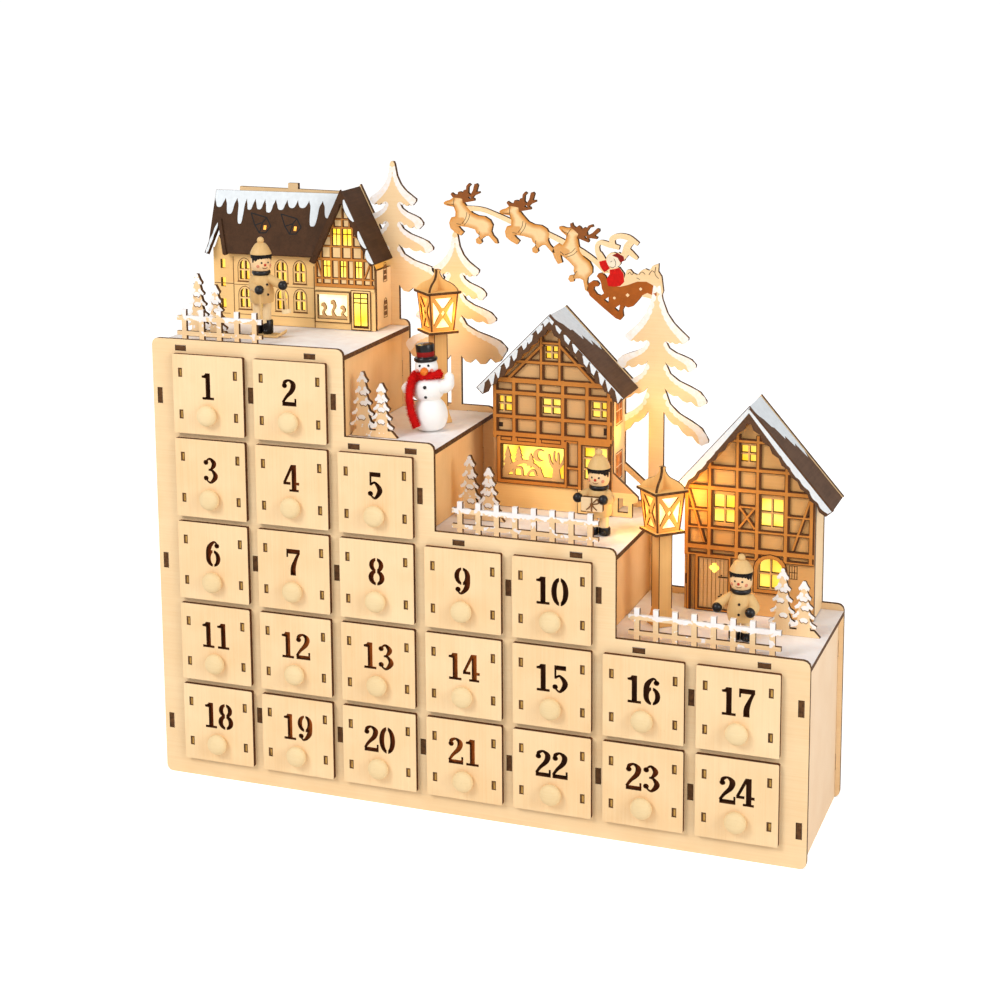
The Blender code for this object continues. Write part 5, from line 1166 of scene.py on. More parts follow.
def dripping_edge(drips, start, end, base, samples=33):
    """Depth below the top edge along u, where s runs from -1 to 1 between a drip's valleys:
    base + (short - base) * (1 - |s| ^ 2.8) for a round shoulder of at most 10.5, and
    (tip - short) * (1 - |s / 0.64| ^ 5) more for a long finger in the middle of it."""
    places = np.array([u for u, _ in drips])
    edges = np.concatenate([[start], (places[1:] + places[:-1]) / 2, [end]])
    s = np.linspace(-1, 1, samples)[None, :-1]
    tips = np.array([tip for _, tip in drips])[:, None]
    short = np.minimum(tips, 10.5)
    finger = np.maximum(1 - np.abs(s / 0.64) ** 5, 0)
    depth = base + (short - base) * (1 - np.abs(s) ** 2.8) + (tips - short) * finger
    left_part = edges[:-1, None] + (s + 1) * (places - edges[:-1])[:, None]
    right_part = places[:, None] + s * (edges[1:] - places)[:, None]
    u = np.where(s < 0, left_part, right_part)
    return np.concatenate([np.column_stack([u.ravel(), depth.ravel()]), [(end, base)]])


edge = dripping_edge(DRIPS, -62.6, 30.6, 5.2)
band = np.concatenate([[(31.2, SLOPE_LENGTH - 0.2), (-62.6, SLOPE_LENGTH - 0.2)],
                       np.column_stack([edge[:, 0], SLOPE_LENGTH - edge[:, 1]])])
DORMERS = (-35.2, -13.8)
DORMER = ([(0, 26.9), (11.5, 24.2), (15.4, 18.6), (12.3, 14.2), (7.9, 13.9), (3.9, 18.9),
           (0, 26.9)], [(3.9, 18.9), (9.2, 20.8), (11.5, 24.2)], [(9.2, 20.8), (7.9, 13.9)])
dormer_lines = [stroke_line(np.array(pair) + (u, 0), 0.75) for u in DORMERS for line in DORMER
                for pair in zip(line, line[1:])]
dormer_lights = [box(u + 10.4, 16.2, u + 12.2, 19.0) for u in DORMERS]
piece("house_1_snow",
      [layer(loops, thickness, SLOPE_AT + ROOF_FACE, material, up=SLOPE_UP)
       for loops, thickness, material in (([band], 0.12, icy_paint),
                                          (dormer_lines, 0.1, hair_black),
                                          (dormer_lights, 0.12, dormer_glow))])
print("drips", len(DRIPS))

# %% Snow on the barge boards and slopes
def along_slope(house, side, t, inward):
    """Points on a barge board: t of the way from ridge to eave, this far in from its edge."""
    u = house.run * t * house.length - house.fall * inward
    v = house.ridge - house.fall * t * house.length - house.run * inward
    return np.column_stack([side * u, v])


def barge_snow(house, side, edge_in, inner):
    """Band along one barge board, from `edge_in` to the depths `inner` at even steps."""
    outer_line = along_slope(house, side, np.array([0.0, 0.995]), edge_in)
    inner_line = along_slope(house, side, np.linspace(0, 1, len(inner)) * 0.99, np.array(inner))
    inner_line[:, 0] = side * np.maximum(side * inner_line[:, 0], 0.02)
    return np.concatenate([outer_line, inner_line[::-1]])


def icicles(house, side, seed):
    """Nine icicles under a thin band: each hangs straight down from the board's outer edge, wide
    where it starts and pointed at its own depth. They are cut to the board, less a dark rim."""
    rng = np.random.default_rng(seed)
    places = (np.arange(9) + 0.4 + rng.uniform(-0.2, 0.2, 9)) / 9
    tops = along_slope(house, side, places, 0.9)
    lean = side * 0.5
    hanging = [ribbon([(u, v + 1.0, 5.4), (u - lean, v - 0.45 * deep, 2.6),
                       (u - 2 * lean, v - deep, 0.2)], 5)
               for (u, v), deep in zip(tops, rng.uniform(5.2, 8.6, 9))]
    return hanging + [barge_snow(house, side, 0.45, (1.7, 1.7))]


def slope_snow(house, side, depths, low_y):
    """Part on the roof's slope, white from the ridge down to `depths` (mm) at even steps of y."""
    y = np.linspace(low_y / MM, 55.2, len(depths))
    loop = np.column_stack([[0.3, 0.3, *depths[::-1]], [low_y / MM, 55.2, *y[::-1]]])
    normal = np.array([side * house.fall, 0, house.run])
    start = house.at(0) + np.array([0, 0, house.ridge * MM]) - normal * (0.52 * MM)
    points, faces, *rest = layer([loop], 0.14, start, icy_paint,
                                 (side * house.run, 0, -house.fall), Y_AXIS)
    if side < 0:
        count = len(points) // 2
        points[count:] = points[:count] + normal * 0.14 * MM
        faces = faces[:, ::-1]
    return points, faces, *rest


rng = np.random.default_rng(7)
for name in ("house_2", "house_3"):
    house = HOUSES[name]
    on_board = house.at(house.board_y + 0.02 * MM)
    parts = []
    for side in (-1, 1):
        rim = 0.45 if side < 0 else 1.15
        if name == "house_2":
            loops = icicles(house, side, 5 + side)
        else:
            t = np.linspace(0, 1, 73)
            loops = [barge_snow(house, side, rim, 4.9 - 0.8 * np.abs(np.cos(9 * math.pi * t)) ** 3
                                + 0.3 * np.sin(23 * t))]
        board = barge_snow(house, side, rim - 0.05, (6.3, 6.3))
        parts.append(layer(loops, 0.12, on_board, icy_paint, within=[board]))
        share = np.linspace(0, 1, 11) ** 0.9
        jag = np.where(np.arange(11) % 2 == 0, 0.0, 9.0) * rng.uniform(0.6, 1.2, 11)
        reach = 2 + (30 if name == "house_2" else 40) * share + jag * share
        parts.append(slope_snow(house, side, reach, house.board_y + 1.7 * MM))
    piece(f"{name}_snow", parts)
patches = []
for start, end, depth in ((0.13, 0.42, 2.9), (0.55, 0.78, 2.6), (0.8, 0.985, 3.2)):
    t = np.linspace(start, end, 9)
    swell = 0.4 + depth * np.sin(np.linspace(0.12, math.pi - 0.12, 9)) ** 0.6
    patches.append(np.concatenate([along_slope(house_1, 1, t[[0, -1]], 0.3),
                                   along_slope(house_1, 1, t, swell)[::-1]]))
tower_at = SLOPE_AT + (0, -1.5 * MM, 0) + ROOF_FACE
tower_snow = ribbon([(-62.6, -0.4, 1.0), (-62.0, 2.0, 2.0), (-61.2, 5.0, 1.4), (-60.4, 8.4, 2.0),
                     (-59.4, 12.2, 1.2), (-58.2, 16.4, 1.7), (-57.4, 19.6, 0.3)])
# A dark sheet behind the tower's gable: painted shade inside the tower.
tower_shade_sheet = [(-60.8, 44.5), (-50.0, 44.5), (-56.7, 64.0)]
piece("house_1_gable_snow",
      [layer(patches, 0.12, house_1.at(house_1.board_y + 0.02 * MM), icy_paint),
       layer([tower_snow], 0.12, tower_at, icy_paint, up=SLOPE_UP),
       layer([tower_shade_sheet], 0.3, first_step(WALL_BACK + 0.4 * MM), dark_print)])
print("snow patches", len(patches))

# %% [markdown]
# ## Street lamps
#
# A lamp is a box of four thin boards with a flared foot, a floor, four fretted panels that lean
# outwards, a lid, and two ogee boards that cross on the lid's diagonals. The panels are joined at
# the corners by fingers, and the lit paper inside glows through the fretwork. The fretted boards
# themselves carry a faint painted glow, and the paper of the two panels that face left is dimmer,
# a painted shade.

# %% Lamps
LAMPS = {"lamp_1": (STEP_EDGES[1] - 23.8 * MM, FACE_Y + 70.0 * MM, DECKS[1]),
         "lamp_2": (STEP_EDGES[2] + 15.4 * MM, FACE_Y + 44.3 * MM, DECKS[3])}
# The fretted boards glow faint orange: a painted glow of the lantern on its own wood.
lamp_wood_painted_glow = Finish("lamp wood with painted glow")
face_colour, lamp_grain = birch(lamp_wood_painted_glow, 2, (0.72, 0.37, 0.10), (0.52, 0.22, 0.05), 43)
lamp_wood_painted_glow = lamp_wood_painted_glow.finish(lamp_grain, 0.04 * MM, 0.2, base_color=face_colour, roughness=0.6,
                           emission_color=(1.0, 0.33, 0.03), emission_strength=0.12)
lantern_glow = glowing("lantern paper", (1.0, 0.97, 0.66), (1.0, 0.76, 0.20), 1.3, 9 * MM)
lantern_paper_painted_dim = glowing("lantern paper in painted shade", (1.0, 0.72, 0.20), (0.86, 0.40, 0.05), 0.9, 7 * MM)
lid_wood = [plywood(f"lamp lid wood {axis}", axis, 2 if axis < 2 else 0, (0.92, 0.58, 0.22),
                    (0.76, 0.41, 0.12), 44) for axis in range(3)]
lamp_edge = plain("charred corner", (0.15, 0.05, 0.016), 0.7)


def fret(low, high, height):
    """A lantern's panel: its frame, crossing bars, and a diamond where they meet."""
    def at(share_u, share_v):
        return (share_u * (low + (high - low) * share_v), share_v * height)

    loops = [[at(-0.60, 0.90), at(0.60, 0.90), at(0.08, 0.63), at(-0.08, 0.63)],
             [at(-0.60, 0.10), at(-0.06, 0.35), at(0.06, 0.35), at(0.60, 0.10)],
             [at(0, 0.58), at(0.15, 0.49), at(0, 0.40), at(-0.15, 0.49)]]
    for side in (-1, 1):
        loops.append([at(side * 0.78, 0.82), at(side * 0.78, 0.16), at(side * 0.5, 0.34),
                      at(side * 0.26, 0.49), at(side * 0.5, 0.66)])
    return [at(-1, 0), at(1, 0), at(1, 1), at(-1, 1)], loops


def ogee(half, height):
    """Profile of the crossed boards: an S from the eave up to a round knob."""
    side = spline([(half, 0.0), (half - 0.5, 1.6), (half * 0.72, 4.4), (half * 0.34, 6.8),
                   (2.2, 9.6), (1.7, 11.4), (2.1, 12.6), (1.5, height - 0.4), (0.0, height)], 5)
    return mirrored(side)


def lamp_parts(x, y, z):
    """Post, floor and lid; on each side a panel, its paper and its corners; the ogee boards."""
    parts = []
    square = [(8.8, 0.3), (8.8, 1.6), (6.9, 6.4), (6.1, 10.5), (6.1, 57.4)]
    for profile, material in ((square, lamp_finish), ([(13.8, 57.2), (13.8, 58.8)], lid_wood[2]),
                              ([(15.8, 82.0), (15.8, 83.6)], lid_wood[2])):
        parts.append(round_part(turned(np.array(profile) * MM, 4), material, (x, y, z), False))
    low, high, height = 10.6 * math.sqrt(0.5), 13.6 * math.sqrt(0.5), 23.4
    splay = math.atan2(high - low, height)
    outline, loops = fret(low, high, height / math.cos(splay))
    for quarter in range(4):
        angle = (quarter + 0.5) * math.pi / 2
        out = np.array([math.cos(angle), math.sin(angle), 0.0])
        across = (-math.sin(angle), math.cos(angle), 0.0)
        up = out * math.sin(splay) + (0, 0, math.cos(splay))
        origin = np.array([x, y, z + 58.7 * MM]) + out * (low - 1.0) * MM
        # The two panels that face left take the dimmer paper: painted shade for the bulb seen at a
        # slant.
        paper = lantern_paper_painted_dim if quarter in (1, 2) else lantern_glow
        parts.append(layer([outline], 1.0, origin, (lamp_wood_painted_glow, lamp_edge), across, up,
                           holes=loops))
        parts.append(layer([np.array(outline) * (0.86, 0.98)], 0.3, origin - out * 1.2 * MM,
                           paper, across, up))
        corner = angle + math.pi / 4
        edge = np.array([math.cos(corner), math.sin(corner)])
        fingers = [(*(edge * (10.3 + 2.9 * t)), 58.9 + 23.0 * t, 0.62)
                   for t in (0, 0.30, 0.31, 0.37, 0.38, 0.64, 0.65, 0.71, 0.72, 1)]
        for path in (fingers, [(*(edge * 6.0), 10.6, 0.3), (*(edge * 6.0), 57.2, 0.3)]):
            points, faces = limb(path, 6)
            parts.append((points * MM + (x, y, z), faces, lamp_edge, False))
    for wood, across in ((lid_wood[1], X_AXIS), (lid_wood[0], Y_AXIS)):
        origin = np.array([x, y, z + 83.5 * MM]) + np.cross(across, Z_AXIS) * -0.8 * MM
        parts.append(layer([ogee(13.4, 13.2)], 1.6, origin, wood, across))
    return parts


for name, place in LAMPS.items():
    piece(f"{name}_boards", lamp_parts(*place), stands_for=[name])
print("lamps", len(LAMPS))

# %% [markdown]
# ## The snowman
#
# The snowman is turned from white-painted balls, with a lacquered hat, a short orange nose, and
# pins for its eyes and buttons. Its scarf is red chenille: a wire with a dense pile of short
# fibres, wound round the neck with one long tail. The pile is made as thousands of small fins that
# stand out of a core, because a smooth red tube would look like plastic.

# %% Snowman
SNOWMAN = np.array([STEP_EDGES[1] - 20.6 * MM, FACE_Y + 48.0 * MM, DECKS[1] + 0.3 * MM])
TILT, FACING_TURN = math.radians(-3.6), math.radians(10)
white_ball = plain("white ball", (0.93, 0.92, 0.90), 0.4, coat=0.1, shade=0.94)
orange_paint = plain("orange paint", (0.85, 0.20, 0.015), 0.35, coat=0.2)
pink_paint = plain("pink paint", (0.80, 0.30, 0.24), 0.55)
hat_red = plain("hat band", (0.30, 0.012, 0.010), 0.6)


def snowman_spot(points):
    """Points in the snowman's own millimetres: turned to face the viewer, tilted, and placed."""
    points = np.asarray(points, float) * MM
    c, s = math.cos(FACING_TURN), math.sin(FACING_TURN)
    x, y = points[:, 0] * c - points[:, 1] * s, points[:, 0] * s + points[:, 1] * c
    z = points[:, 2]
    tilted = np.column_stack([x * math.cos(TILT) + z * math.sin(TILT), y,
                              -x * math.sin(TILT) + z * math.cos(TILT)])
    return tilted + SNOWMAN


def ball_at(place, radius, material, steps=14, rings=8):
    return round_part(ball(radius, steps, rings), material, place)


body_profile = spline([(5.6, 0.0), (8.6, 1.7), (10.7, 6.0), (11.1, 10.6), (9.8, 15.6), (7.4, 18.8),
                       (7.2, 19.4), (9.2, 21.8), (9.9, 26.0), (9.0, 30.4), (5.6, 33.2), (4.6, 34.4),
                       (6.6, 36.6), (7.1, 39.4), (6.3, 42.6), (4.0, 44.6), (0.2, 45.2)], 4)
brim = [(0.2, 43.0), (6.7, 43.0), (7.2, 43.5), (7.3, 44.6), (6.9, 45.3), (5.5, 45.5), (5.3, 46.0)]
hat_band = [(5.25, 45.8), (5.42, 46.0), (5.5, 48.8), (5.3, 49.0)]
crown = [(5.3, 48.9), (5.6, 49.0), (5.8, 52.9), (5.5, 53.5), (4.8, 53.7), (0.2, 53.7)]
snow_parts = [round_part(turned(profile, steps), material) for profile, steps, material in (
    (body_profile, 40, white_ball), (brim, 36, black_lacquer), (hat_band, 36, hat_red),
    (crown, 36, black_lacquer))]
left_arm = [(-7.4, -1.0, 29.0, 3.8), (-10.0, -2.0, 27.6, 4.3), (-12.2, -3.0, 25.8, 4.3),
            (-13.6, -3.6, 24.6, 3.2), (-14.2, -3.8, 24.0, 0.4)]
right_arm = [(7.0, -1.0, 28.0, 4.0), (10.4, -2.4, 27.4, 4.5), (13.0, -3.0, 28.8, 4.3),
             (14.2, -3.2, 31.4, 3.2), (14.4, -3.2, 34.4, 2.6), (14.4, -3.2, 36.4, 0.4)]
nose = [(0.2, -6.2, 38.2, 2.1), (0.2, -8.0, 37.9, 2.4), (0.1, -9.6, 37.6, 2.1),
        (0.0, -10.6, 37.5, 1.2), (0.0, -11.0, 37.4, 0.2)]
snow_parts += [round_part(limb(spline(path, samples), steps), material)
               for path, samples, steps, material in (
                   (left_arm, 6, 20, white_ball), (right_arm, 6, 20, white_ball),
                   (nose, 4, 18, orange_paint))]
for u in (-2.7, 2.7):
    snow_parts += [ball_at((u, -6.25, 41.0), 0.8, black_lacquer),
                   ball_at((u * 1.6, -5.5, 37.9), 1.2, pink_paint)]
snow_parts += [ball_at((0.2, -9.6, 28.2), 1.15, black_lacquer),
               ball_at((0.2, -8.7, 22.2), 1.15, black_lacquer)]
piece("snowman_balls", moved(snow_parts, snowman_spot), stands_for=["snowman"])
print("snowman parts", len(snow_parts))

# %% Chenille scarf
chenille = Finish("red chenille")
fuzz = chenille.noise(0.5 * MM, 3.0, 0.6)
clump = chenille.noise(2.4 * MM, 2.0, 0.5, 5.0)
deep = (fuzz.above(0.5, 0.5) * 0.5 + clump.above(0.5, 0.5) * 0.5).clear()
chenille = chenille.finish(base_color=chenille.mix(deep, (0.86, 0.014, 0.012),
                                                   (0.56, 0.005, 0.005)),
                           roughness=0.95, sheen_weight=0.2, sheen_tint=(1.0, 0.12, 0.10))
PILE_WIDTH = 0.16


def pile(path, radius, count, seed):
    """Fibres round a path: each a thin spike from near the core out to about `radius`, turned a
    random way round it.
    """
    rng = np.random.default_rng(seed)
    t = np.sort(rng.uniform(0, len(path) - 1.001, count))
    low = t.astype(int)
    share = (t - low)[:, None]
    spot = path[low] * (1 - share) + path[low + 1] * share
    along = path[low + 1] - path[low]
    along /= np.linalg.norm(along, axis=1)[:, None]
    out = np.cross(along, rng.normal(size=(count, 3)))
    out /= np.linalg.norm(out, axis=1)[:, None]
    side = np.cross(along, out) * PILE_WIDTH
    reach = radius * rng.uniform(0.80, 1.22, count)[:, None]
    droop = along * rng.uniform(-0.25, 0.25, count)[:, None] * radius
    root = spot + out * reach * 0.35
    points = np.stack([root + side, root - side, root + along * PILE_WIDTH,
                       spot + out * reach + droop], 1).reshape(-1, 3)
    start = np.arange(count)[:, None, None] * 4
    return points, (start + [[0, 1, 3], [1, 2, 3], [2, 0, 3], [0, 2, 1]]).reshape(-1, 3)


angle = np.linspace(0, 2 * math.pi, 41)
wrap = np.column_stack([7.0 * np.sin(angle), -7.0 * np.cos(angle) + 0.3,
                        34.0 + 0.7 * np.cos(angle) + 0.3])
tail = spline([(-4.6, -6.6, 35.4), (-7.6, -8.2, 33.0), (-9.2, -9.6, 27.0), (-9.6, -10.6, 20.0),
               (-8.6, -11.4, 12.0), (-6.0, -12.2, 4.4)], 8)
scarf_parts, FIBRES = [], 5200
for path, radius, seed in ((wrap, 3.2, 1), (tail, 3.1, 2)):
    core = np.column_stack([path, np.full(len(path), radius * 0.66)])
    scarf_parts += [round_part(limb(core, 12), chenille),
                    round_part(pile(path, radius, FIBRES, seed), chenille, smooth=False)]
piece("snowman_scarf", moved(scarf_parts, snowman_spot))
print("scarf fibres", 2 * FIBRES)

# %% [markdown]
# ## Turned figures
#
# Three dolls are turned from one piece of wood each, with black lacquered balls for hands, black
# boots, a band of dark hair under the cap and a dark collar. Their faces are two dots, a small
# nose and rosy cheeks. One stands on a ski with two sticks, and one carries a parcel.

# %% Figures
rose = plain("rosy cheek", (0.74, 0.28, 0.16), 0.6)
nose_red = plain("nose paint", (0.55, 0.04, 0.02), 0.4)
parcel_wood = plywood("parcel wood", 1, 0, (0.90, 0.70, 0.44), (0.80, 0.56, 0.30), 61)
FIGURES = {
    "figure_1": (STEP_STARTS[0] + 54.6 * MM, FACE_Y + 44.0 * MM, DECKS[0], 17.0, 50,
                 ((3.0, -9.5, 13.9), (17.6, -6.0, 16.9)), 3.0, 0.73),
    "figure_2": (STEP_STARTS[2] + 89.4 * MM, FACE_Y + 38.7 * MM, DECKS[2], 7.5, -4,
                 ((-10.5, -8.0, 16.4), (5.6, -10.0, 16.8)), 1.5, 0.78),
    "figure_3": (STEP_STARTS[3] + 65.2 * MM, FACE_Y + 33.6 * MM, DECKS[3], 7.5, -2,
                 ((-12.5, -6.0, 12.5), (7.4, -9.0, 12.4)), 2.0, 0.67),
}


def on_head(bearing, height, radius, up=0.0):
    """A point on the head: `bearing` degrees from the front, towards +X."""
    a = math.radians(bearing)
    return (radius * math.sin(a), -radius * math.cos(a), height + up)


def figure_parts(lift, bearing, hands, taller, cap, sole):
    """A doll in its own millimetres about its place on the deck. The coat is drawn out so that
    the head sits `taller`, and the cap has the share `cap` of its full height."""
    parts, boot = [], sole + 4.6 if lift < 10 else sole + 8.6
    coat_foot, cap_foot = 4.6, 32.0
    stretch = 1 + taller / (20.0 - coat_foot)

    def lathe(profile, material, up=lift + taller, share=1.0, foot=0.0):
        shape = spline(profile, 4)
        shape[:, 1] = foot + (shape[:, 1] - foot) * share
        parts.append(round_part(turned(shape), material, (0, 0, up)))

    lathe([(0.2, 4.6), (6.4, 4.7), (7.3, 5.2), (7.95, 8.4), (7.6, 11.6), (6.2, 17.2), (4.2, 19.6),
           (0.2, 20.0)], figure_wood, up=lift, share=stretch, foot=coat_foot)
    lathe([(3.4, 18.6), (5.2, 19.0), (5.9, 20.2), (5.6, 21.6), (3.4, 22.4)], black_lacquer)
    lathe([(0.2, 20.6), (4.2, 21.0), (5.9, 23.4), (6.4, 26.2), (6.0, 29.8), (4.2, 32.4),
           (0.2, 32.8)], face_wood)
    lathe([(5.6, 29.7), (6.4, 29.9), (6.45, 30.8), (6.2, 32.4), (5.2, 32.6)], hair_black)
    lathe([(0.2, 32.0), (6.1, 32.0), (6.6, 32.6), (6.4, 34.0), (5.2, 37.4), (3.5, 40.6),
           (1.8, 42.0), (0.2, 42.2)], figure_wood, share=cap, foot=cap_foot)
    tip = lift + taller + cap_foot + cap * 11.8
    parts.append(ball_at((0, 0, tip), 2.2, figure_wood, 20, 10))
    head = lift + taller + 26.5
    for side in (-1, 1):
        spot = on_head(bearing + side * 20, head, 6.15, 0.7)
        parts.append(ball_at(spot, 0.66, black_lacquer, 12))
        cheek = on_head(bearing + side * 42, head, 5.6, -1.4)
        parts.append(ball_at(cheek, 1.25, rose))
        for lock, fall in ((16, 1.5), (34, 1.2), (54, -0.4), (74, -1.6)):
            strand = [(*on_head(bearing + side * lock, head, 5.3, 4.7), 1.8),
                      (*on_head(bearing + side * (lock + 3), head, 5.25, fall + 2.3), 1.3),
                      (*on_head(bearing + side * (lock + 7), head, 5.8, fall + 1.2), 0.3)]
            parts.append(round_part(limb(strand, 8), hair_black))
    parts.append(ball_at(on_head(bearing, head, 6.3, -0.7), 0.85, nose_red, 12))
    smile = [(*on_head(bearing + a, head, 5.95, low), 0.26)
             for a, low in ((-20, -1.9), (-8, -2.8), (8, -2.8), (20, -1.9))]
    parts.append(round_part(limb(spline(smile, 3), 8), brown_print))
    for height, radius in ((9.4, 7.85), (14.6, 6.95)):
        up = lift + coat_foot + (height - coat_foot) * stretch
        parts.append(ball_at(on_head(bearing + 6, up, radius), 0.8, black_lacquer, 12))
    for side, hand in zip((-1, 1), hands):
        hand = np.array(hand) + (0, 0, lift)
        shoulder = np.array([side * 5.0, 0.0, lift + taller + 17.2])
        elbow = (shoulder + hand) / 2 + np.array([side * 2.6, 0.5, -1.6])
        reach = [(*shoulder, 2.4), (*elbow, 3.0), (*(hand * 0.8 + elbow * 0.2), 2.7),
                 (*(hand * 0.97 + elbow * 0.03), 2.4)]
        parts.append(round_part(limb(spline(reach, 6), 18), figure_wood))
        parts.append(ball_at(hand, 3.0, black_lacquer, 20, 12))
        leg = [(0.2, sole), (3.1, sole), (3.5, sole + 0.8), (3.5, boot - 0.6), (3.2, boot)]
        shin = [(2.4, boot - 0.2), (2.8, boot + 0.2), (2.8, lift + 4.6), (2.6, lift + 5.8)]
        toe = [(side * 3.6, 0.5, sole + 1.9, 1.8), (side * 3.6, -3.0, sole + 1.9, 1.8),
               (side * 3.6, -4.4, sole + 1.5, 1.1), (side * 3.6, -4.8, sole + 1.3, 0.2)]
        parts += [round_part(turned(leg, 20), black_lacquer, (side * 3.6, 0, 0)),
                  round_part(limb(spline(toe, 3), 14), black_lacquer),
                  round_part(turned(shin, 20), turned_wood, (side * 3.2, 0, 0))]
    return parts


def ski_and_sticks():
    """A ski whose tip curls up, and two sticks with round baskets."""
    t = np.linspace(0, 1, 22)
    x = -8.0 + 25.0 * t
    rise = 0.4 + 5.0 * np.clip(t - 0.78, 0, 1) ** 1.4 * 6
    half = 4.6 * np.sqrt(np.clip(1 - (2 * t - 1) ** 6, 0.02, 1))
    corners = np.stack([np.column_stack([x, side * half - 1.0, rise + up])
                        for side, up in ((-1, 0), (1, 0), (1, 1.4), (-1, 1.4))], 1)
    last = len(t) * 4 - 1
    faces = grid_faces(len(t), 4)[:, ::-1].tolist()
    faces += [[0, 1, 2, 3], [last, last - 1, last - 2, last - 3]]
    parts = [(corners.reshape(-1, 3), faces, figure_wood, False)]
    for top, foot in (((3.0, -9.6, 34.2), (5.0, -10.6, 9.6)),
                      ((17.4, -6.0, 37.4), (20.4, -7.0, 16.4))):
        top, foot = np.array(top), np.array(foot)
        basket = foot + (top - foot) * 0.08
        along = (top - foot) / np.linalg.norm(top - foot)
        disc = [(*(basket + along * step), radius)
                for step, radius in ((-1.4, 2.4), (-1.3, 2.9), (1.1, 2.9), (1.2, 2.4))]
        parts += [round_part(limb([(*top, 0.75), (*foot, 0.75)], 12), figure_wood),
                  round_part(limb(disc, 20), turned_wood)]
    return parts


def parcel_parts():
    """A flat parcel with a bow: two loops, two ends and the crossing ribbon."""
    bow = [ribbon(knots, 5) for knots in (
        [(-1.2, 21.4, 0.5), (-4.4, 24.6, 0.9), (-5.2, 22.4, 0.9), (-1.2, 21.2, 0.5)],
        [(-1.0, 21.4, 0.5), (2.2, 24.6, 0.9), (3.0, 22.4, 0.9), (-1.0, 21.2, 0.5)],
        [(-1.1, 21.3, 0.7), (-3.0, 19.0, 0.7), (-4.4, 18.0, 0.6)],
        [(-1.1, 21.3, 0.7), (0.8, 19.0, 0.7), (2.2, 18.0, 0.6)])]
    bow += [box(-1.5, 17.2, -0.7, 25.2), circle(-1.1, 21.3, 1.0, 12)]
    parcel = rounded_box(-7.6, 17.0, 5.4, 25.4, 0.6)
    return [layer([parcel], 3.4, (0, -7.6, 0), parcel_wood, unit=1),
            layer(bow, 0.4, (0, -10.95, 0), brown_print, unit=1)]


for name, (x, y, z, *build) in FIGURES.items():
    parts = figure_parts(*build, 2.0 if name == "figure_1" else 0.35)
    if name == "figure_1":
        parts += ski_and_sticks()
    if name == "figure_2":
        parts += parcel_parts()
    parts = moved(parts, lambda points: points * MM + (x, y, z))
    piece(f"{name}_doll", parts, stands_for=[name])
print("figures", len(FIGURES))

# %% [markdown]
# ## Paint on the skyline
#
# The back panel carries the firs, the reindeer team and the sleigh, cut in one piece with it.
# Snow is sprayed on the upper side of each branch with a scalloped lower border. It is made as a
# union of discs along the branch, cut to the fir's own outline, so the border scallops by itself.

# %% Snow on the tall firs
def fir_side(tiers, lobes=3):
    """Right-hand side of a fir about its trunk, from its tip down, and the top edges of its
    branches. A tier is (reach, drop of its tip, hang of its lobes, notch, drop of the notch): its
    top edge is a Bezier curve, and its lobes are half waves under an arched envelope."""
    side, edges = [(0.8, -0.3)], []
    neck = np.array([1.6, -1.8])
    for reach, drop, hang, notch, notch_drop in tiers:
        end = np.array([reach, -drop])
        fall = neck[1] - end[1]
        first_pull = np.array([neck[0] + 0.1 * (end[0] - neck[0]), neck[1] - 0.7 * fall])
        bulge = (0.62, 0.8) if reach == tiers[0][0] else (0.86, 0.5)
        last_pull = np.array([neck[0] + bulge[0] * (end[0] - neck[0]), neck[1] - bulge[1] * fall])
        t = np.linspace(0, 1, 12)[:, None]
        curve = ((1 - t)**3 * neck + 3 * (1 - t)**2 * t * first_pull
                 + 3 * (1 - t) * t**2 * last_pull + t**3 * end)
        edges.append(curve)
        side += curve[::2].tolist() + [(reach, -drop), (reach - 0.2, -drop - 1.6)]
        under, root = np.array([reach - 1.2, -drop - 2.2]), np.array([notch, -notch_drop])
        t = np.arange(1, 3 * lobes) / (3 * lobes)
        envelope = np.sin(math.pi * np.minimum(1, 0.15 + 0.8 * t)) ** 0.5
        depth = hang * envelope * (0.45 + 0.55 * np.abs(np.sin(lobes * math.pi * t)))
        spots = under + t[:, None] * (root - under)
        side += np.column_stack([spots[:, 0], spots[:, 1] - depth]).tolist() + [tuple(root)]
        neck = root
    return np.array(side), edges


FIR = ((16.0, 24.0, 2.6, 4.4, 26.0), (20.6, 39.0, 3.2, 4.0, 38.0), (27.2, 54.6, 2.6, 3.4, 53.0),
       (34.4, 73.4, 7.6, 3.2, 79.0))
TALL_FIR = ((20.0, 37.0, 2.0, 5.6, 39.5), (24.8, 53.6, 3.4, 5.4, 52.5),
            (31.6, 75.6, 3.6, 5.2, 69.0), (33.0, 100.0, 4.4, 4.8, 84.0))
FIR_PLACES = ((STEP_EDGES[0] - 10.0 * MM, DECKS[0] + 105.8 * MM, FIR),
              (STEP_EDGES[1] - 25.3 * MM, DECKS[1] + 115.2 * MM, FIR),
              (STEP_EDGES[2] - 5.1 * MM, DECKS[2] + 145.6 * MM, TALL_FIR))
sprayed = Finish("sprayed snow")
veil = sprayed.noise(3.5 * MM, 3.0, 0.6).above(0.42, 0.4)
wood_under, _ = birch(sprayed, 0)
sprayed = sprayed.finish(base_color=sprayed.mix(0.55 + veil * 0.45, wood_under,
                                                (0.95, 0.91, 0.89)), roughness=0.75)
PAINT_AT = (0, BACK_FACE + 0.02 * MM, 0)
snow = []
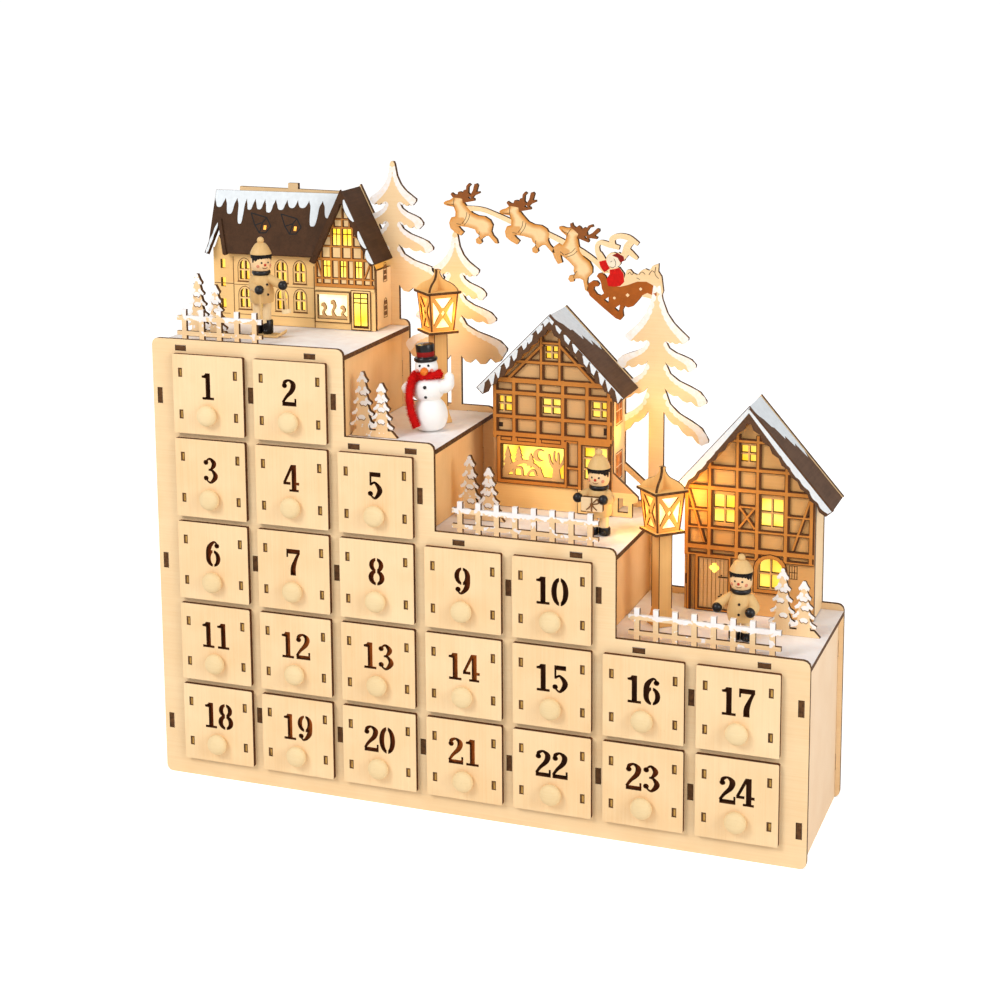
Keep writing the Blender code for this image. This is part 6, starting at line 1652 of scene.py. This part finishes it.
for x, z, tiers in FIR_PLACES:
    side, edges = fir_side(tiers)
    blobs = []
    for index, curve in enumerate(edges):
        share = np.linspace(0.12, 1.0, len(curve))
        size = 1.7 + 4.4 * share ** 1.4 if index else 1.9 + 3.4 * share
        blobs += [circle(direction * u, v, r, 14) for direction in (-1, 1)
                  for (u, v), r in zip(curve[1:], size[1:])]
    snow.append(layer(blobs, 0.07, (x, PAINT_AT[1], z), sprayed, within=[mirrored(side)]))
piece("fir_snow", snow)
print("firs", len(FIR_PLACES))

# %% [markdown]
# ## The flying team
#
# The reindeer are airbrushed: caramel at the edge fades to bare wood inside. Each gets a layer
# whose points carry their distance to the outline as an attribute, which the finish turns into
# the fade. Antlers, sleigh, coat and hat are plain printed colours.

# %% Reindeer
REINDEER = np.array([
    (0.0, 0.0), (0.4, -1.0), (2.5, -1.8), (6.8, -2.4), (8.0, -5.5), (7.8, -8.6), (5.0, -9.2),
    (3.6, -12.5), (4.4, -16.0), (7.5, -18.5), (11.5, -20.5), (13.4, -18.2), (11.0, -16.0),
    (9.6, -14.4), (16.0, -15.0), (21.0, -16.2), (22.0, -18.5), (24.2, -20.0), (21.4, -22.4),
    (21.8, -24.8), (24.0, -25.6), (25.6, -24.2), (25.0, -22.4), (28.0, -20.2), (30.2, -20.0),
    (34.4, -24.5), (36.2, -24.6), (35.4, -22.0), (33.0, -19.6), (31.8, -17.0), (32.8, -13.0),
    (31.0, -9.8), (27.5, -7.8), (23.0, -7.4), (19.2, -5.8), (15.6, -2.0), (13.6, 0.4),
    (20.8, 1.8), (20.6, 3.2), (19.4, 3.6), (20.6, 5.0), (24.2, 6.6), (24.0, 7.8), (22.0, 7.6),
    (23.2, 11.6), (22.2, 12.8), (20.8, 12.4), (19.8, 8.4), (18.0, 5.4), (16.6, 6.8), (16.8, 10.2),
    (18.4, 11.8), (17.0, 12.8), (15.4, 11.0), (15.2, 8.6), (13.6, 8.4), (13.0, 6.6),
    (11.4, 7.4), (9.9, 7.2), (9.4, 5.2), (7.2, 5.4), (5.6, 6.6), (4.8, 5.4), (6.4, 3.4),
    (4.2, 1.9), (1.4, 1.1)])
EYE = np.array([(17.7, 4.4), (19.0, 2.9), (17.4, 2.9), (16.4, 3.9)])
TEAM = ((-51.2, 358.6, 0.0), (-14.0, 354.4, 0.0), (25.2, 346.3, -31.4))
ANTLERS = np.array([(3.0, 3.6), (9.4, 3.4), (12.6, 2.8), (13.0, 0.0), (22.0, 0.8), (27.0, 4.0),
                    (27.0, 15.0), (2.0, 15.0)])
MARKS = ([(17.6, -6.6), (16.6, -10.0), (13.6, -14.0)], [(15.6, -5.6), (14.8, -9.4), (12.2, -13.0)],
         [(7.2, 3.2), (6.8, -0.6), (7.4, -3.0)], [(2.4, -0.8), (4.6, -1.2), (6.6, -0.8)],
         [(8.6, -13.0), (11.6, -13.4)], [(24.0, -17.4), (23.6, -20.0), (24.6, -22.2)])


def placed(loop, x, z, degrees):
    """The loop turned about its origin, which then lies at x, z."""
    angle = math.radians(degrees)
    spin = np.array([(math.cos(angle), math.sin(angle)), (-math.sin(angle), math.cos(angle))])
    return np.asarray(loop) @ spin + (x, z)


def distance_to(loop, spots):
    """Distance from each spot to the nearest side of the loop."""
    a, b = loop, np.roll(loop, -1, axis=0)
    side = (b - a)[None]
    start = spots[:, None] - a[None]
    t = np.clip((start * side).sum(-1) / (side ** 2).sum(-1), 0, 1)
    return np.linalg.norm(start - t[..., None] * side, axis=-1).min(axis=1)


airbrushed = Finish("airbrushed reindeer")
edge_share = airbrushed.node("Attribute", {"attribute_name": "tone"}, out="Fac")
speckle = airbrushed.noise(1.2 * MM, 3.0, 0.6)
fade = (edge_share + (speckle - 0.5) * 0.35).clear()
pale, _ = birch(airbrushed, 0, (0.93, 0.66, 0.36), (0.84, 0.55, 0.26))
airbrushed = airbrushed.finish(base_color=airbrushed.mix(fade, pale, (0.62, 0.24, 0.035)),
                               roughness=0.6)
antler_brown = plain("antler brown", (0.27, 0.085, 0.02), 0.6)
grid = np.stack(np.meshgrid(np.arange(-1, 38, 0.8), np.arange(-27, 14, 0.8)), -1).reshape(-1, 2)
for number, place in enumerate(TEAM, 1):
    loop, eye = placed(REINDEER, *place), placed(EYE, *place)
    coat = layer([loop], 0.05, PAINT_AT, airbrushed, holes=[eye], inner=placed(grid, *place))
    spots = coat[0][:, [0, 2]] / MM
    local = placed(spots - place[:2], 0, 0, -place[2])
    brushed = (np.clip(1.15 - distance_to(loop, spots) / 2.6, 0, 1)
               * np.where(local[:, 1] < -11.5, 0.75, 1.0))
    hooves = (local[:, 0] < 14) & (local[:, 1] < -8.8) | (local[:, 1] < -22) & (local[:, 0] < 27)
    shade = np.where(hooves, np.maximum(brushed, 0.62), brushed)
    deer = piece(f"reindeer_{number}_paint", [coat])
    deer.data.attributes["tone"].data.foreach_set("value", shade.astype(np.float32))
    piece(f"reindeer_{number}_lines",
          [layer([loop], 0.09, PAINT_AT, antler_brown, holes=[eye],
                 within=[placed(ANTLERS, *place)]),
           layer([placed(stroke_line(line, 0.32), *place) for line in MARKS], 0.1, PAINT_AT,
                 dark_print)])
print("reindeer", len(TEAM))

# %% Sleigh and driver
SLEIGH = [
    (49.2, 316.4), (50.4, 318.2), (52.6, 318.6), (54.9, 316.6), (56.3, 313.3), (58.6, 310.8),
    (64.3, 310.6), (68.8, 311.8), (75.1, 314.3), (80.8, 314.5), (84.8, 312.6), (87.1, 309.4),
    (87.3, 306.4), (86.0, 305.2), (84.0, 306.6), (81.4, 307.6), (78.5, 306.1), (74.5, 301.2),
    (72.3, 298.8), (69.4, 297.9), (67.0, 298.7), (65.8, 295.9), (66.3, 292.2), (64.4, 289.8),
    (61.4, 290.8), (52.9, 297.4), (44.9, 304.0), (43.1, 307.8), (44.0, 311.6), (46.6, 313.5),
    (49.4, 313.4), (51.0, 311.6), (50.0, 310.0), (47.8, 309.9), (47.3, 308.0), (49.4, 305.2),
    (51.7, 304.4), (53.9, 306.0), (52.6, 308.8), (52.0, 312.6), (51.0, 314.6)]
SLEIGH_HOLES = [[(54.0, 301.8), (56.9, 303.9), (56.9, 299.9)],
                [(60.6, 297.0), (64.2, 299.4), (63.3, 294.8)],
                circle(60.6, 303.4, 0.9, 8), circle(69.0, 305.6, 1.3, 4),
                circle(77.2, 309.8, 1.1, 4)]
COAT = [(56.6, 310.6), (55.6, 315.0), (57.6, 318.0), (57.6, 320.8), (60.6, 321.4), (63.6, 322.4),
        (66.4, 318.8), (66.8, 313.6), (64.2, 311.0), (60.0, 310.4)]
HAT = [(59.0, 329.8), (62.4, 331.4), (66.4, 329.4), (66.8, 326.8), (64.2, 325.6), (62.6, 328.4)]
SLEEVE = ribbon([(56.0, 320.4, 4.4), (54.0, 323.2, 4.8), (53.0, 326.2, 4.4)], 5)
red_paint = plain("red coat", (0.70, 0.007, 0.004), 0.5, size=2 * MM, shade=0.62)
dark_red = plain("red cap", (0.30, 0.012, 0.008), 0.5, size=2 * MM, shade=0.6)
rust = plain("sleigh brown", (0.42, 0.105, 0.012), 0.55, size=5 * MM, shade=0.7)
cream = plain("cream print", (0.92, 0.79, 0.60), 0.6)
DRIVER_LINES = ([(58.0, 325.6), (59.0, 326.2)], [(57.4, 322.8), (59.6, 322.2), (61.4, 323.4)],
                [(60.2, 327.8), (61.4, 325.6), (61.2, 323.6)], [(53.2, 320.6), (56.4, 319.6)])
GIFT_LINES = ([(69.0, 318.6), (70.4, 319.8), (71.6, 318.4), (73.0, 320.0)],
              [(76.0, 318.6), (78.0, 320.4), (80.0, 319.0)],
              [(82.4, 318.8), (84.2, 321.4), (86.0, 320.4)],
              [(86.6, 323.8), (86.2, 319.4), (88.4, 316.8)], [(74.6, 316.6), (76.8, 315.6)])
drawn = [stroke_line(line, width) for lines, width in ((DRIVER_LINES, 0.3), (GIFT_LINES, 0.34))
         for line in lines]
piece("sleigh_paint", [layer([SLEIGH], 0.05, PAINT_AT, rust, holes=SLEIGH_HOLES),
                       layer([COAT, SLEEVE], 0.07, PAINT_AT, red_paint),
                       layer([circle(60.0, 326.4, 4.4)], 0.06, PAINT_AT, cream),
                       layer([HAT], 0.09, PAINT_AT, dark_red),
                       layer(drawn, 0.1, PAINT_AT, dark_print)])
print("sleigh holes", len(SLEIGH_HOLES))

# %% [markdown]
# ## Dabs on the small firs
#
# The young firs in front are tipped with thick white paint, and a few scallops are engraved under
# the dabs. The dabs are discs at the ends of the branches, cut to the tree's own outline.

# %% Small firs
def young_fir(height, half_width, tiers=5):
    """Outline of a small fir: each tier steps out and falls back in. Also the branch tips."""
    side, tips = [(0.7, height)], []
    for tier in range(tiers):
        share = (tier + 1) / tiers
        low = height * (1 - 0.84 * share)
        reach = half_width * (0.28 + 0.72 * share)
        side += [(reach * 0.62, low + 3.2), (reach, low + 1.4), (reach - 0.5, low),
                 (reach * 0.5, low + 0.9)]
        tips.append((reach, low + 1.2))
    side = np.array(side + [(half_width * 0.55, 0.3)])
    return mirrored(side), np.array(tips)


PAIRS = ((0, 17.2, 30.0), (1, 3.8, 21.0), (2, 6.0, 45.0), (3, 85.8, 52.0))
rng = np.random.default_rng(3)
for number, (step, across, setback) in enumerate(PAIRS, 1):
    x, y, z = STEP_STARTS[step] + across * MM, FACE_Y + (setback - 1.5) * MM, DECKS[step]
    at = (x, y + 0.02 * MM, z)
    dabs, scallops, limits = [], [], []
    for u, height, half in ((0, 40.0, 8.4), (12.4, 33.6, 7.6)):
        outline, tips = young_fir(height, half)
        limits.append(outline + (u, 0))
        for direction in (-1, 1):
            for x, z in tips:
                size = rng.uniform(1.5, 2.4)
                dabs += [circle(u + direction * (x - 0.9), z + 0.5, size, 12),
                         circle(u + direction * (x - 2.6), z + 1.9, size * 0.7, 12)]
        dabs += [circle(u, height - 0.8, 1.5, 12), circle(u - 0.2, height - 3.4, 1.3, 12)]
        for share in (0.3, 0.52, 0.68):
            x, z = u + rng.uniform(-1.6, 1.6), height * share
            dabs += [oval(x, z, 2.3, 1.5, 14), circle(x + 1.4, z - 0.5, 1.1, 10)]
            scallops.append(stroke_line([(x - 2.6, z - 0.2), (x - 1.4, z - 1.8), (x, z - 1.3),
                                         (x + 1.4, z - 2.0), (x + 2.6, z - 0.6)], 0.35))
    piece(f"small_firs_{number}_dabs",
          [layer(dabs, 0.16, at, white_paint, within=limits),
           layer(scallops, 0.18, at, brown_print, within=limits)])
print("pairs", len(PAIRS))

# %% [markdown]
# ## Warm light
#
# A string of small warm lamps lights the village from inside the houses and the lanterns, and its
# light spills onto the boards nearby. Small point lamps close to those boards give that spill.

# %% Warm lamps
warm_places = [(f"{name}_{side}", (x + across * MM, y + away * MM, z + 69 * MM), 0.0095)
               for name, (x, y, z) in LAMPS.items()
               for side, across, away in (("left", -16, -4), ("right", 16, -4), ("back", 0, 15))]
warm_places += [
    ("gable", (house_3.x - 33 * MM, FACADE_Y - 13 * MM, DECKS[3] + 72 * MM), 0.020),
    ("shop", (house_2.x - 12 * MM, FACADE_Y - 14 * MM, DECKS[2] + 30 * MM), 0.006),
    ("fir", (STEP_EDGES[2] - 20 * MM, BACK_FACE - 16 * MM, DECKS[2] + 50 * MM), 0.0075,
     (1.0, 0.50, 0.035)),
    ("trunk", (STEP_EDGES[2] - 4 * MM, BACK_FACE - 32 * MM, DECKS[2] + 66 * MM), 0.013,
     (1.0, 0.62, 0.10))]
for name, place, power, *colour in warm_places:
    lamp(f"{name} spill", "POINT", place, power, color=(colour or [(1.0, 0.57, 0.10)])[0],
         shadow_soft_size=4 * MM)

# %% [markdown]
# ## The floor
#
# The floor is white paper that takes the object's shadow. To the camera it also shines a little,
# so that it joins the white background.

# %% The end
backdrop = Finish("floor")
lifted = backdrop.mix(backdrop.seen(), (0, 0, 0), (0.56, 0.56, 0.56))
backdrop = backdrop.finish(base_color=(0.95, 0.95, 0.95), roughness=0.9, emission_color=lifted,
                           emission_strength=1.0)
mesh = bpy.data.meshes.new("floor")
mesh.from_pydata([(-30, -30, 0), (30, -30, 0), (30, 60, 0), (-30, 60, 0)], [], [(0, 1, 2, 3)])
mesh.materials.append(backdrop)
into_scene("floor", mesh)
